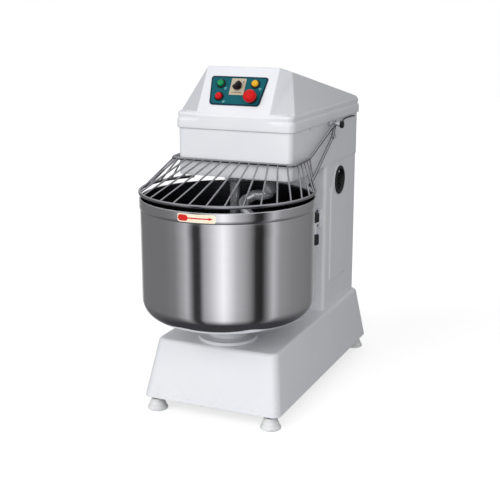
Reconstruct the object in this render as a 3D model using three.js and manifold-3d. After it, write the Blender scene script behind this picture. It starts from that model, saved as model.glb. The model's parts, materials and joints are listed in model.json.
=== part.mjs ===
// A floor-standing spiral dough mixer: a white sheet-steel stand, a turning stainless bowl, a spiral
// hook with a fixed breaker bar, a wire guard that lifts, and the belts and chains that drive them.
// Millimetres. X runs to the right, Y to the back and Z up, from the floor under the middle of the
// machine. Distances called "back" are measured backwards from the bowl's axis.
import * as THREE from "three";
import { mergeVertices } from "three/addons/utils/BufferGeometryUtils.js";
import Module from "manifold-3d";

const wasm = await Module();
wasm.setup();

// Driving dimensions.
const gap = 0.3; // between pieces that touch
const bowlY = -206.4;
const back = (distance) => bowlY + distance;

const bowl = { radius: 240, wall: 3, floor: 280, rim: 616, fillet: 52, bandHeight: 29, band: 2.5 };

const base = {
  bottomHalf: 208.5,
  topHalf: 183,
  bottom: 41.5,
  top: 205.5,
  frontBottom: back(-135),
  frontTop: back(-90),
  rearBottom: 451.4,
  rearTop: 424,
  corner: 26,
  wall: 5,
};

const column = { half: 168.5, front: back(331), rear: back(619), corner: 10, wall: 3 };
const emboss = { back: 459, halfWidth: 84, bottom: 286, top: 588, rise: 3, corner: 16 };
const ventCap = { back: 449, height: 598, radius: 44 };

const head = { half: 172, front: back(37), rear: back(622), bottom: 658, top: 796, corner: 18, wall: 3 };
const plateThick = 12;
const plateTop = head.bottom + gap + plateThick;

const cover = {
  lip: 6,
  lipBottom: 790.4,
  lipRidge: 816,
  shoulder: 836,
  frontBack: 34,
  frontHalf: 108.6,
  sideHalf: 172,
  cornerBack: 62,
  rearBack: 612,
  roofBack: 108,
  roof: 958,
  peakHalf: 120.7,
  peakBack: 172,
  roofRearHalf: 169,
  roofRearBack: 600,
  roofRear: 843,
  wall: 4,
};

const bar = { x: -28, y: back(110), radius: 14, bottom: 305, top: 638 };
const spiral = { x: 85, y: back(105), shaft: 20, radius: 76, rod: 15, arm: 600, bottom: 318, turns: 1.3 };

// The drive: motor belt, spiral chain, bowl belt and bowl chain, each on a level of its own.
const counter = { x: 0, y: back(250), shaft: 12 };
const lay = { x: -50, y: back(400), shaft: 12 };
const motor = { x: 70, y: back(510), radius: 75, bottom: 330, top: 600, shaft: 11 };
const level = { bowlChain: 99, bowlBelt: 725, spiralChain: 750, motorBelt: 775 };
const wheel = {
  motorPulley: 35,
  counterPulley: 125,
  counterSprocket: 22,
  spiralSprocket: 43,
  counterSheave: 26,
  layPulley: 95,
  laySprocket: 21,
  bowlSprocket: 92,
};

const pivot = { back: 338, height: 783, radius: 5.5, collar: 9.5, reach: 208 };
const guard = {
  ringRadius: 240.5,
  ringHeight: 631,
  ringEnd: 40,
  rod: 4.5,
  wire: 2.5,
  sideHalf: 187,
  frontBack: 24,
  frontHeight: 705,
  bendBack: 136,
  bendHeight: 709,
  corner: 22,
  armHalf: 190,
};
const roller = { radius: 20, angle: 46.5, bottom: 452, top: 545, pin: 5, low: 481, high: 519, anchor: 147 };
const foot = { half: 175, front: back(-106), rear: 418, radius: 29, stud: 8 };

const panelFoot = new THREE.Vector3(0, back(cover.frontBack), cover.shoulder + 2);
const panelHead = new THREE.Vector3(0, back(cover.roofBack), cover.roof);
const panelTilt = Math.atan2(panelHead.z - panelFoot.z, panelHead.y - panelFoot.y);
const control = { hole: 11.5, cap: 10, knobHole: 6, plate: 2, corner: 10, rise: 16 };
const plateShape = { low: 22, high: 109.5, narrow: 75.2, wide: 87.1, shift: -1.5 };
const legend = { left: -23, right: 20.5, low: 53, high: 103, thick: 1, corner: 2 };
const knob = { x: 1, y: 77.5, stem: 5, skirt: 9.5, gripHalf: 5, gripLong: 13.5, gripHigh: 17, turn: -42 };

// Materials.
const finish = (color, roughness, metalness) =>
  new THREE.MeshStandardMaterial({ color, roughness, metalness });
const whitePaint = finish(0xe9eaec, 0.4, 0);
const stainless = finish(0xb4b5b8, 0.25, 1);
const steel = finish(0x8c8f94, 0.4, 1);
const darkChrome = finish(0x55555a, 0.25, 1);
const castIron = finish(0x4b4d52, 0.6, 0.8);
const black = finish(0x17181a, 0.5, 0);
const rubber = finish(0x202020, 0.85, 0);
const whiteNylon = finish(0xdcdde0, 0.5, 0);
const teal = finish(0x0f6670, 0.4, 0);

// Closed geometry to a solid, and back.
function solid(geometry) {
  const bare = geometry.clone();
  bare.deleteAttribute("normal");
  bare.deleteAttribute("uv");
  const merged = mergeVertices(bare, 1e-4);
  const vertProperties = new Float32Array(merged.attributes.position.array);
  const triVerts = new Uint32Array(merged.index.array);
  return new wasm.Manifold(new wasm.Mesh({ numProp: 3, vertProperties, triVerts }));
}

function geometryOf(body) {
  const made = body.getMesh();
  const geometry = new THREE.BufferGeometry();
  geometry.setAttribute("position", new THREE.BufferAttribute(made.vertProperties, 3));
  geometry.setIndex(new THREE.BufferAttribute(made.triVerts, 1));
  geometry.computeVertexNormals();
  return geometry;
}

const join = (...bodies) => bodies.reduce((sum, body) => sum.add(body));
const cut = (body, ...tools) => tools.reduce((left, tool) => left.subtract(tool), body);

const machine = new THREE.Group();

function piece(name, shape, material, parent = machine) {
  const geometry = shape.isBufferGeometry ? shape : geometryOf(shape);
  const mesh = new THREE.Mesh(geometry, material);
  mesh.name = name;
  parent.add(mesh);
  return mesh;
}

// Shapes.
function roundedOutline(left, right, front, rear, radius) {
  const shape = new THREE.Shape();
  const quarter = Math.PI / 2;
  shape.absarc(right - radius, rear - radius, radius, 0, quarter);
  shape.absarc(left + radius, rear - radius, radius, quarter, 2 * quarter);
  shape.absarc(left + radius, front + radius, radius, 2 * quarter, 3 * quarter);
  shape.absarc(right - radius, front + radius, radius, 3 * quarter, 4 * quarter);
  return shape;
}

function slab(shape, low, high, curveSegments = 2) {
  const options = { depth: high - low, bevelEnabled: false, curveSegments };
  return solid(new THREE.ExtrudeGeometry(shape, options).translate(0, 0, low));
}

function block(left, right, front, rear, low, high) {
  const geometry = new THREE.BoxGeometry(right - left, rear - front, high - low);
  return solid(geometry.translate((left + right) / 2, (front + rear) / 2, (low + high) / 2));
}

// A body through sections that hold the same number of points, flat-fanned at both ends.
function loft(sections) {
  const count = sections[0].length;
  const points = sections.flat();
  const last = points.length - count;
  const faces = [];
  for (let i = 0; i < count; i += 1) {
    const next = (i + 1) % count;
    for (let s = 0; s < last; s += count) {
      faces.push(s + i, s + next, s + count + next);
      faces.push(s + i, s + count + next, s + count + i);
    }
    if (i > 0 && next > 0) {
      faces.push(0, next, i);
      faces.push(last, last + i, last + next);
    }
  }
  const geometry = new THREE.BufferGeometry().setFromPoints(points);
  geometry.setIndex(faces);
  return solid(geometry);
}

const outlineAt = (shape, height) =>
  shape.getPoints(2).map((p) => new THREE.Vector3(p.x, p.y, height));

function turned(profile, x, y, segments = 32) {
  const points = profile.map(([radius, height]) => new THREE.Vector2(radius, height));
  return solid(new THREE.LatheGeometry(points, segments).rotateX(Math.PI / 2).translate(x, y, 0));
}

const disc = (radius, low, high, x, y, segments = 20) =>
  turned([[0, low], [radius, low], [radius, high], [0, high]], x, y, segments);

const ring = (inner, outer, low, high, x, y, segments = 24) =>
  turned(
    [[inner, low], [outer, low], [outer, high], [inner, high], [inner, low]],
    x,
    y,
    segments,
  );

// A round rod whose axis runs along X.
function crossRod(radius, left, right, y, z, segments = 16) {
  const geometry = new THREE.CylinderGeometry(radius, radius, right - left, segments);
  return solid(geometry.rotateZ(Math.PI / 2).translate((left + right) / 2, y, z));
}

function rodBetween(start, end, radius, sides = 6) {
  const along = new THREE.Vector3().subVectors(end, start);
  const geometry = new THREE.CylinderGeometry(radius, radius, along.length(), sides);
  const turn = new THREE.Quaternion().setFromUnitVectors(
    new THREE.Vector3(0, 1, 0),
    along.clone().normalize(),
  );
  geometry.applyQuaternion(turn);
  const middle = new THREE.Vector3().addVectors(start, end).multiplyScalar(0.5);
  return solid(geometry.translate(middle.x, middle.y, middle.z));
}

function tube(curve, radius, steps, sides = 8) {
  const section = new THREE.Shape();
  section.absarc(0, 0, radius, 0, 2 * Math.PI);
  // A full circle is drawn with twice as many sides as its curve segments.
  const options = { steps, extrudePath: curve, curveSegments: sides / 2, bevelEnabled: false };
  return solid(new THREE.ExtrudeGeometry(section, options));
}

// Sheet-steel stand.
function baseCasing() {
  const outer = loft([
    outlineAt(roundedOutline(-base.bottomHalf, base.bottomHalf, base.frontBottom,
      base.rearBottom, base.corner), base.bottom),
    outlineAt(roundedOutline(-base.topHalf, base.topHalf, base.frontTop,
      base.rearTop, base.corner), base.top),
  ]);
  const w = base.wall;
  const inner = loft([
    outlineAt(roundedOutline(-base.bottomHalf + w, base.bottomHalf - w, base.frontBottom + w,
      base.rearBottom - w, base.corner - w), base.bottom - 1),
    outlineAt(roundedOutline(-base.topHalf + w, base.topHalf - w, base.frontTop + w,
      base.rearTop - w, base.corner - w), base.top - w),
  ]);
  const bearingHole = disc(56, base.top - 20, base.top + 5, 0, bowlY);
  const columnWindow = block(-130, 130, column.front + 20, column.rear - 20, base.top - 20,
    base.top + 5);
  return cut(outer, inner, bearingHole, columnWindow);
}

const footPlaces = {
  front_right: [foot.half, foot.front],
  front_left: [-foot.half, foot.front],
  rear_right: [foot.half, foot.rear],
  rear_left: [-foot.half, foot.rear],
};
const floorPlate = { half: 186, front: base.frontBottom + 12, rear: base.rearBottom - 12, low: 44, high: 52 };

function basePlate() {
  const sheet = slab(
    roundedOutline(-floorPlate.half, floorPlate.half, floorPlate.front, floorPlate.rear, 16),
    floorPlate.low,
    floorPlate.high,
  );
  const holes = Object.values(footPlaces).map(([x, y]) =>
    disc(foot.stud + 0.5, floorPlate.low - 5, floorPlate.high + 5, x, y, 12));
  return cut(sheet, ...holes);
}

const footProfile = [
  [0, 0],
  [foot.radius, 0],
  [foot.radius, 7],
  [foot.radius - 3, 10],
  [20, 16],
  [18, 30],
  [15, 33],
  [foot.stud, 33],
  [foot.stud, 64],
  [0, 64],
];

function sideHole(radius, side) {
  return crossRod(radius, side * (column.half + 3) - 12, side * (column.half + 3) + 12,
    back(ventCap.back), ventCap.height, 32);
}

// A rounded sheet standing on a side wall, raised outwards from the wall's plane.
function sidePad(side) {
  const shape = roundedOutline(back(emboss.back - emboss.halfWidth),
    back(emboss.back + emboss.halfWidth), emboss.bottom, emboss.top, emboss.corner);
  const options = { depth: emboss.rise + 1, bevelEnabled: false, curveSegments: 2 };
  const geometry = new THREE.ExtrudeGeometry(shape, options);
  geometry.rotateZ(Math.PI / 2).rotateY(Math.PI / 2);
  return solid(geometry.translate(side > 0 ? column.half - 1 : -column.half - emboss.rise, 0, 0));
}

function columnCasing() {
  const low = base.top + gap;
  const high = head.bottom - gap;
  const w = column.wall;
  const outer = slab(roundedOutline(-column.half, column.half, column.front, column.rear,
    column.corner), low, high);
  const inner = slab(roundedOutline(-column.half + w, column.half - w, column.front + w,
    column.rear - w, column.corner - w), low - 5, high + 5);
  const rearWindow = block(-120, 120, column.rear - 10, column.rear + 10, 250, 600);
  const shell = join(cut(outer, inner), sidePad(1), sidePad(-1));
  return cut(shell, rearWindow, sideHole(ventCap.radius - 3, 1), sideHole(ventCap.radius - 3, -1));
}

// A moulded cap: a flange on the wall, a plug through the hole and a cup open to the outside.
function ventCapBody(side) {
  const face = column.half + emboss.rise + gap;
  const profile = [
    [0, face - 14],
    [ventCap.radius - 4, face - 14],
    [ventCap.radius - 4, face],
    [ventCap.radius, face],
    [ventCap.radius, face + 2],
    [ventCap.radius - 2, face + 4],
    [ventCap.radius - 9, face + 4],
    [ventCap.radius - 11, face - 10],
    [0, face - 10],
  ];
  const points = profile.map(([radius, height]) => new THREE.Vector2(radius, height));
  const geometry = new THREE.LatheGeometry(points, 32).rotateZ((-side * Math.PI) / 2);
  return solid(geometry.translate(0, back(ventCap.back), ventCap.height));
}

function headCasing() {
  const outer = slab(roundedOutline(-head.half, head.half, head.front, head.rear, head.corner),
    head.bottom, head.top);
  const w = head.wall;
  const inner = slab(roundedOutline(-head.half + w, head.half - w, head.front + w, head.rear - w,
    head.corner - w), head.bottom - 5, head.top + 5);
  return cut(outer, inner);
}

function headPlate() {
  const w = head.wall + gap;
  const sheet = slab(roundedOutline(-head.half + w, head.half - w, head.front + w, head.rear - w,
    head.corner - w), head.bottom + gap, plateTop);
  const columnWindow = block(-140, 140, column.front + 14, column.rear - 14, head.bottom - 5,
    plateTop + 5);
  const spindleHole = disc(spiral.shaft + 4, head.bottom - 5, plateTop + 5, spiral.x, spiral.y);
  return cut(sheet, columnWindow, spindleHole);
}

// The cover's faceted upper part: the control face, two corner facets and the falling roof.
function coverFacets(inset, low) {
  const side = cover.sideHalf - inset;
  const foot6 = [
    [-cover.frontHalf, cover.frontBack + inset],
    [cover.frontHalf, cover.frontBack + inset],
    [side, cover.cornerBack + inset / 2],
    [side, cover.rearBack - inset],
    [-side, cover.rearBack - inset],
    [-side, cover.cornerBack + inset / 2],
  ];
  const peak = cover.peakHalf - inset;
  const rear = cover.roofRearHalf - inset;
  const fall = (cover.roof - cover.roofRear) / (cover.roofRearBack - cover.roofBack);
  const roofAt = (b) => cover.roof - inset - fall * (b - cover.roofBack);
  const top6 = [
    [-cover.frontHalf, cover.roofBack + inset],
    [cover.frontHalf, cover.roofBack + inset],
    [peak, cover.peakBack],
    [rear, cover.roofRearBack - inset],
    [-rear, cover.roofRearBack - inset],
    [-peak, cover.peakBack],
  ];
  const at = (height) => foot6.map(([x, b]) => new THREE.Vector3(x, back(b), height));
  const roof = top6.map(([x, b]) => new THREE.Vector3(x, back(b), roofAt(b)));
  return loft([at(low), at(cover.shoulder - 1), roof]);
}

function coverBody() {
  const grown = (extra, height) =>
    outlineAt(roundedOutline(-head.half - extra, head.half + extra, head.front - extra,
      head.rear + extra, head.corner + extra), height);
  const skirt = loft([
    grown(cover.lip, cover.lipBottom),
    grown(cover.lip, cover.lipRidge),
    grown(cover.lip - 2.5, cover.lipRidge + 6),
    grown(cover.lip - 3.5, cover.shoulder),
  ]);
  const seat = loft([grown(0.5, cover.lipBottom - 5), grown(0.5, head.top + gap)]);
  const hollow = loft([grown(-6, head.top - 5), grown(-6, cover.shoulder - 6)]);
  const attic = coverFacets(cover.wall + 1, cover.shoulder - 12);
  return cut(join(skirt, coverFacets(0, cover.shoulder - 14)), seat, hollow, attic);
}

// Turns a body drawn flat on the control panel, with Z out of the panel, into the machine's frame.
const panelPlace = new THREE.Matrix4()
  .makeTranslation(panelFoot.x, panelFoot.y, panelFoot.z)
  .multiply(new THREE.Matrix4().makeRotationX(panelTilt));
const ontoPanel = (geometryOrBody) => {
  const flat = geometryOrBody.isBufferGeometry ? geometryOrBody : geometryOf(geometryOrBody);
  return solid(flat.clone().applyMatrix4(panelPlace));
};

const buttonPlaces = {
  start_button: [-53, 86],
  stop_button: [-50, 46.5],
  jog_button: [50, 87.5],
};
const emergencyPlace = [48, 44.5];
const knobPlace = [knob.x, knob.y];

function panelHoles(low, high) {
  const round = [...Object.values(buttonPlaces), emergencyPlace].map(([x, y]) =>
    disc(control.hole, low, high, x, y, 16));
  return join(...round, disc(control.knobHole, low, high, ...knobPlace, 12));
}

function controlPlate() {
  const shape = new THREE.Shape();
  const { corner } = control;
  const { low, high, narrow, wide } = plateShape;
  shape.moveTo(-narrow + corner, low);
  shape.lineTo(narrow - corner, low);
  shape.quadraticCurveTo(narrow, low, narrow + 1, low + corner);
  shape.lineTo(wide - 1, high - corner);
  shape.quadraticCurveTo(wide, high, wide - corner, high);
  shape.lineTo(-wide + corner, high);
  shape.quadraticCurveTo(-wide, high, -wide + 1, high - corner);
  shape.lineTo(-narrow - 1, low + corner);
  shape.quadraticCurveTo(-narrow, low, -narrow + corner, low);
  const sheet = slab(shape, gap, gap + control.plate).translate([plateShape.shift, 0, 0]);
  return cut(sheet, panelHoles(-5, 10));
}

function legendPlate() {
  const low = gap + control.plate + gap;
  const outline = roundedOutline(legend.left, legend.right, legend.low, legend.high, legend.corner);
  const sheet = slab(outline, low, low + legend.thick);
  return cut(sheet, disc(control.knobHole, -5, 10, ...knobPlace, 12));
}

const buttonProfile = [
  [0, -control.rise],
  [control.cap, -control.rise],
  [control.cap, 10],
  [8.5, 12],
  [0, 12.6],
];

function emergencyHead() {
  return turned(
    [[0, 25], [8.5, 25], [8.5, 12], [14, 12], [19, 16], [19, 24], [16, 29], [0, 31]],
    ...emergencyPlace,
    24,
  );
}

function selectorKnob() {
  const seat = 2 * gap + control.plate + legend.thick + gap;
  const outline = roundedOutline(-knob.gripHalf, knob.gripHalf, -knob.gripLong, knob.gripLong,
    knob.gripHalf - 0.1);
  const grip = slab(outline, seat + 4, seat + knob.gripHigh).rotate([0, 0, knob.turn]);
  return join(
    disc(knob.stem, 2 - control.rise, seat + 1, knob.x, knob.y, 12),
    disc(knob.skirt, seat, seat + 5, knob.x, knob.y, 24),
    grip.translate([knob.x, knob.y, 0]),
  );
}

// Bowl and its drive.
function bowlBody() {
  const { radius, wall, floor, rim, fillet, bandHeight, band } = bowl;
  const profile = [[0, floor]];
  for (let i = 0; i <= 6; i += 1) {
    const a = (i / 6) * (Math.PI / 2);
    profile.push([radius - fillet + fillet * Math.sin(a), floor + fillet - fillet * Math.cos(a)]);
  }
  profile.push([radius, rim - bandHeight]);
  profile.push([radius + band, rim - bandHeight]);
  profile.push([radius + band, rim - 3]);
  profile.push([radius, rim]);
  profile.push([radius - wall, rim]);
  const inside = fillet - wall;
  for (let i = 6; i >= 0; i -= 1) {
    const a = (i / 6) * (Math.PI / 2);
    profile.push([radius - fillet + inside * Math.sin(a), floor + fillet - inside * Math.cos(a)]);
  }
  profile.push([0, floor + wall]);
  return turned(profile, 0, bowlY, 56);
}

function bandLabel() {
  const inner = bowl.radius + bowl.band + gap;
  const shape = new THREE.Shape();
  const start = THREE.MathUtils.degToRad(-97);
  const end = THREE.MathUtils.degToRad(-72);
  shape.absarc(0, bowlY, inner + 0.5, start, end, false);
  shape.absarc(0, bowlY, inner, end, start, true);
  return slab(shape, bowl.rim - 26, bowl.rim - 4, 6);
}

const bowlShaftProfile = [
  [0, 78],
  [25, 78],
  [25, 267],
  [110, 267],
  [110, bowl.floor - gap],
  [0, bowl.floor - gap],
];

const bowlBearingProfile = [
  [26.5, 125],
  [48, 125],
  [54, 135],
  [54, base.top + gap],
  [85, base.top + gap],
  [85, base.top + 10],
  [56, base.top + 12],
  [52, 262],
  [26.5, 262],
  [26.5, 125],
];

// A toothless wheel blank with a hub, bored for its shaft.
function wheelBlank(radius, middle, thick, hub, hubHeight, bore, x, y) {
  const outer = join(
    disc(radius, middle - thick / 2, middle + thick / 2, x, y, 28),
    disc(hub, middle - hubHeight / 2, middle + hubHeight / 2, x, y, 20),
  );
  return cut(outer, disc(bore + 2 * gap, middle - hubHeight, middle + hubHeight, x, y, 20));
}

// A V-groove pulley: two rims with a groove between them.
function pulley(radius, middle, width, bore, x, y) {
  const half = width / 2;
  return turned(
    [
      [bore + gap, middle - half],
      [radius + 3, middle - half],
      [radius - 5, middle],
      [radius + 3, middle + half],
      [bore + gap, middle + half],
      [bore + gap, middle - half],
    ],
    x,
    y,
    28,
  );
}

// A belt or chain round two wheels: the outline of both circles and their outer tangents, made
// wider than the wheels by `clear` and cut out again inside.
function loop(a, b, radiusA, radiusB, middle, height, clear, thick) {
  const along = new THREE.Vector2(b.x - a.x, b.y - a.y);
  const heading = along.angle();
  const lean = Math.acos((radiusA - radiusB) / along.length());
  const outline = (extra) => {
    const shape = new THREE.Shape();
    shape.absarc(a.x, a.y, radiusA + extra, heading + lean, heading - lean + 2 * Math.PI, false);
    shape.absarc(b.x, b.y, radiusB + extra, heading - lean, heading + lean, false);
    return shape;
  };
  const low = middle - height / 2;
  const high = middle + height / 2;
  return cut(slab(outline(clear + thick), low, high, 8), slab(outline(clear), low - 5, high + 5, 8));
}

function housing(radius, bore, low, high, flange, x, y) {
  const outer = join(disc(radius, low, high, x, y, 24), disc(flange, low, low + 8, x, y, 24));
  return cut(outer, disc(bore, low + 3, high + 5, x, y, 24));
}

function spiralHook() {
  const points = [
    new THREE.Vector3(spiral.x, spiral.y, spiral.arm + 40),
    new THREE.Vector3(spiral.x, spiral.y, spiral.arm + 22),
    new THREE.Vector3(spiral.x - 22, spiral.y, spiral.arm + 4),
    new THREE.Vector3(spiral.x - 50, spiral.y, spiral.arm),
  ];
  const steps = 22;
  for (let i = 0; i <= steps; i += 1) {
    const t = i / steps;
    const turn = Math.PI + 2 * Math.PI * spiral.turns * t;
    const reach = i === 0 ? spiral.radius - 4 : spiral.radius - 14 * Math.max(0, t - 0.85) / 0.15;
    const height = spiral.arm - 8 - (spiral.arm - 8 - spiral.bottom) * t;
    points.push(new THREE.Vector3(spiral.x + reach * Math.cos(turn),
      spiral.y + reach * Math.sin(turn), height));
  }
  const curve = new THREE.CatmullRomCurve3(points, false, "centripetal");
  const rod = tube(curve, spiral.rod, 64, 10);
  const spindle = disc(spiral.shaft, spiral.arm + 12, level.spiralChain + 25, spiral.x, spiral.y);
  return join(rod, spindle);
}

const counterProfile = [
  [0, plateTop + 8],
  [counter.shaft, plateTop + 8],
  [counter.shaft, level.bowlBelt - 7],
  [wheel.counterSheave + 3, level.bowlBelt - 7],
  [wheel.counterSheave - 5, level.bowlBelt],
  [wheel.counterSheave + 3, level.bowlBelt + 7],
  [counter.shaft, level.bowlBelt + 7],
  [counter.shaft, level.motorBelt + 18],
  [0, level.motorBelt + 18],
];

function layUpperBearing() {
  const [low, high] = [640, 652];
  const cross = block(-column.half + column.wall + gap, 20, lay.y - 30, lay.y + 30, low, high);
  return cut(join(cross, disc(30, low, high + 4, lay.x, lay.y)),
    disc(lay.shaft + 1, low - 10, high + 10, lay.x, lay.y));
}

function motorBody() {
  const frame = turned(
    [
      [0, motor.bottom],
      [motor.radius - 12, motor.bottom],
      [motor.radius, motor.bottom + 12],
      [motor.radius, motor.top - 14],
      [motor.radius - 14, motor.top],
      [0, motor.top],
    ],
    motor.x,
    motor.y,
  );
  const box = block(motor.x - 35, motor.x + 35, motor.y - 98, motor.y - 60, 480, 560);
  return cut(join(frame, box), disc(motor.shaft + 1, 560, motor.top + 5, motor.x, motor.y, 16));
}

function motorBracket() {
  const right = column.half - column.wall - gap;
  const plate = block(motor.x + motor.radius + 4, right, motor.y - 60, motor.y + 60, 360, 540);
  const shelf = (low) => block(motor.x + 40, right, motor.y - 60, motor.y + 60, low, low + 10);
  const bore = disc(motor.radius + gap, 300, 620, motor.x, motor.y, 32);
  return cut(join(plate, shelf(390), shelf(500)), bore);
}

// Wire guard.
const ringPoint = (degrees) => {
  const a = THREE.MathUtils.degToRad(degrees);
  return new THREE.Vector3(guard.ringRadius * Math.cos(a), bowlY + guard.ringRadius * Math.sin(a),
    guard.ringHeight);
};

function guardRing() {
  const points = [];
  const sweep = 180 + 2 * guard.ringEnd;
  const steps = 26;
  for (let i = 0; i <= steps; i += 1) points.push(ringPoint(180 - guard.ringEnd + (sweep * i) / steps));
  return tube(new THREE.CatmullRomCurve3(points), guard.rod, 40);
}

function guardFrame() {
  const c = guard.corner;
  const rightSide = [
    [guard.armHalf, pivot.back - 2, pivot.height - 1],
    [guard.sideHalf + 1, guard.bendBack + 12, guard.bendHeight + 6],
    [guard.sideHalf, guard.bendBack - 6, guard.bendHeight - 0.5],
    [guard.sideHalf, guard.frontBack + 2 * c, guard.frontHeight + 1],
    [guard.sideHalf, guard.frontBack + c, guard.frontHeight],
    [guard.sideHalf - c * 0.3, guard.frontBack + c * 0.3, guard.frontHeight],
    [guard.sideHalf - c, guard.frontBack, guard.frontHeight],
  ];
  const leftSide = rightSide.map(([x, b, z]) => [-x, b, z]).reverse();
  const points = [...rightSide, [0, guard.frontBack, guard.frontHeight], ...leftSide];
  const curve = new THREE.CatmullRomCurve3(
    points.map(([x, b, z]) => new THREE.Vector3(x, back(b), z)),
    false,
    "centripetal",
  );
  return tube(curve, guard.rod, 64);
}

function guardWires() {
  const wires = [];
  const add = (x, b, z, degrees) =>
    wires.push(rodBetween(new THREE.Vector3(x, back(b), z), ringPoint(degrees), guard.wire));
  const pitch = 27.6;
  for (let i = -6; i <= 6; i += 1) {
    add(i * pitch, guard.frontBack, guard.frontHeight, -90 + 0.41 * i * pitch);
  }
  for (let i = 0; i < 5; i += 1) {
    const b = 50 + 23 * i;
    const degrees = -11 + 11 * i;
    add(guard.sideHalf, b, guard.frontHeight + 1 + 0.7 * i, degrees);
    add(-guard.sideHalf, b, guard.frontHeight + 1 + 0.7 * i, 180 - degrees);
  }
  return join(...wires);
}

// One hinge lug: a short link plate with the second arm welded to it and a bolt across it.
function guardLug(side) {
  const top = new THREE.Vector2(back(pivot.back), pivot.height);
  const low = new THREE.Vector2(back(pivot.back - 13), pivot.height - 34);
  const middle = side * guard.armHalf;
  const half = 2.5;
  const link = rodBetween(new THREE.Vector3(middle, top.x, top.y),
    new THREE.Vector3(middle, low.x, low.y), 7);
  const eye = crossRod(11, middle - half, middle + half, top.x, top.y, 20);
  const bolt = crossRod(4, middle - 9, middle + 9, low.x, low.y, 10);
  const end = ringPoint(side > 0 ? guard.ringEnd : 180 - guard.ringEnd);
  const arm = rodBetween(end, new THREE.Vector3(middle, low.x, low.y), guard.rod, 8);
  return join(link, eye, bolt, arm);
}

function guardCage() {
  const cage = join(guardRing(), guardFrame(), guardWires(), guardLug(1), guardLug(-1));
  const eyeHole = (side) =>
    crossRod(pivot.radius + 0.5, side * guard.armHalf - 12, side * guard.armHalf + 12,
      back(pivot.back), pivot.height, 20);
  return cut(cage, eyeHole(1), eyeHole(-1));
}

function pivotPin(side, headRadius) {
  const wall = head.half + gap;
  const parts = [
    crossRod(pivot.radius, wall, pivot.reach, back(pivot.back), pivot.height),
    crossRod(7.2, wall, wall + pivot.collar, back(pivot.back), pivot.height),
    crossRod(headRadius, pivot.reach - 8, pivot.reach, back(pivot.back), pivot.height),
  ];
  const pin = join(...parts);
  return side > 0 ? pin : pin.mirror([1, 0, 0]);
}

function switchCable() {
  const points = [
    [212, 349.5, 779],
    [209, 366, 774],
    [199, 390, 772],
    [187, 420, 776],
    [179, 450, 781],
    [175.8, 485, 784],
    [175.6, 530, 784],
    [175.6, 560, 783],
    [175, 572, 782],
  ];
  const curve = new THREE.CatmullRomCurve3(points.map(([x, b, z]) => new THREE.Vector3(x, back(b), z)));
  return tube(curve, 2, 24, 6);
}

// Bowl guide rollers.
function rollerPlace(side) {
  const reach = bowl.radius + roller.radius + 0.6;
  const a = THREE.MathUtils.degToRad(roller.angle);
  return { x: side * reach * Math.cos(a), y: back(reach * Math.sin(a)) };
}

function guideRoller(side) {
  const { x, y } = rollerPlace(side);
  const profile = [
    [0, roller.bottom],
    [roller.radius - 2, roller.bottom],
    [roller.radius, roller.bottom + 2],
    [roller.radius, roller.low],
    [roller.pin, roller.low],
    [roller.pin, roller.high],
    [roller.radius, roller.high],
    [roller.radius, roller.top - 2],
    [roller.radius - 2, roller.top],
    [0, roller.top],
  ];
  return turned(profile, x, y, 24);
}

function rollerBracket(side) {
  const { x, y } = rollerPlace(side);
  const low = roller.low + 2;
  const high = roller.high - 2;
  const anchor = side * roller.anchor;
  const wall = column.front - gap;
  const arm = rodBetween(new THREE.Vector3(x, y, (low + high) / 2),
    new THREE.Vector3(anchor, wall - 4, (low + high) / 2), 9, 8);
  const pad = block(anchor - 11, anchor + 11, wall - 8, wall, low - 12, high + 12);
  const eye = disc(13, low, high, x, y, 20);
  return cut(join(arm, pad, eye), disc(roller.pin + 0.5, low - 10, high + 10, x, y, 16));
}

function cableGland() {
  const profile = [[0, 0], [15, 0], [15, 8], [11, 10], [11, 16], [8, 22], [4, 22], [4, 4], [0, 4]];
  const points = profile.map(([radius, height]) => new THREE.Vector2(radius, height));
  const geometry = new THREE.LatheGeometry(points, 16);
  return geometry.translate(110, column.rear + gap, 224);
}

// Assembly.
const stand = new THREE.Group();
machine.add(stand);
piece("base_casing", baseCasing(), whitePaint, stand);
piece("base_plate", basePlate(), steel, stand);
for (const [place, [x, y]] of Object.entries(footPlaces)) {
  piece("foot_" + place, turned(footProfile, x, y, 24), whiteNylon, stand);
}
piece("column_casing", columnCasing(), whitePaint, stand);
piece("column_back_panel",
  block(-128, 128, column.rear + gap, column.rear + gap + 2, 242, 608), whitePaint, stand);
piece("vent_cap_right", ventCapBody(1), black, stand);
piece("vent_cap_left", ventCapBody(-1), black, stand);
piece("head_casing", headCasing(), whitePaint, stand);
piece("head_mounting_plate", headPlate(), steel, stand);
piece("head_cover", cut(coverBody(), ontoPanel(panelHoles(-30, 20))), whitePaint, stand);
piece("cable_gland", cableGland(), black, stand);
piece("electrical_box",
  block(-156, -66, back(490), back(600), 300, 520), steel, stand);

const panel = new THREE.Group();
panel.position.copy(panelFoot);
panel.rotation.x = panelTilt;
machine.add(panel);
piece("control_plate", controlPlate(), teal, panel);
piece("selector_legend", legendPlate(), finish(0xcdbfa8, 0.5, 0), panel);
const capColours = { start_button: 0x1e8f5a, stop_button: 0xcc1818, jog_button: 0xe2b02a };
for (const [name, [x, y]] of Object.entries(buttonPlaces)) {
  piece(name, turned(buttonProfile, x, y, 20), finish(capColours[name], 0.35, 0), panel);
}
piece("emergency_stop_plunger", disc(8, -control.rise, 24.4, ...emergencyPlace, 16), black, panel);
piece("emergency_stop_head", emergencyHead(), finish(0xcc1010, 0.35, 0), panel);
piece("selector_knob", selectorKnob(), black, panel);

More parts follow.
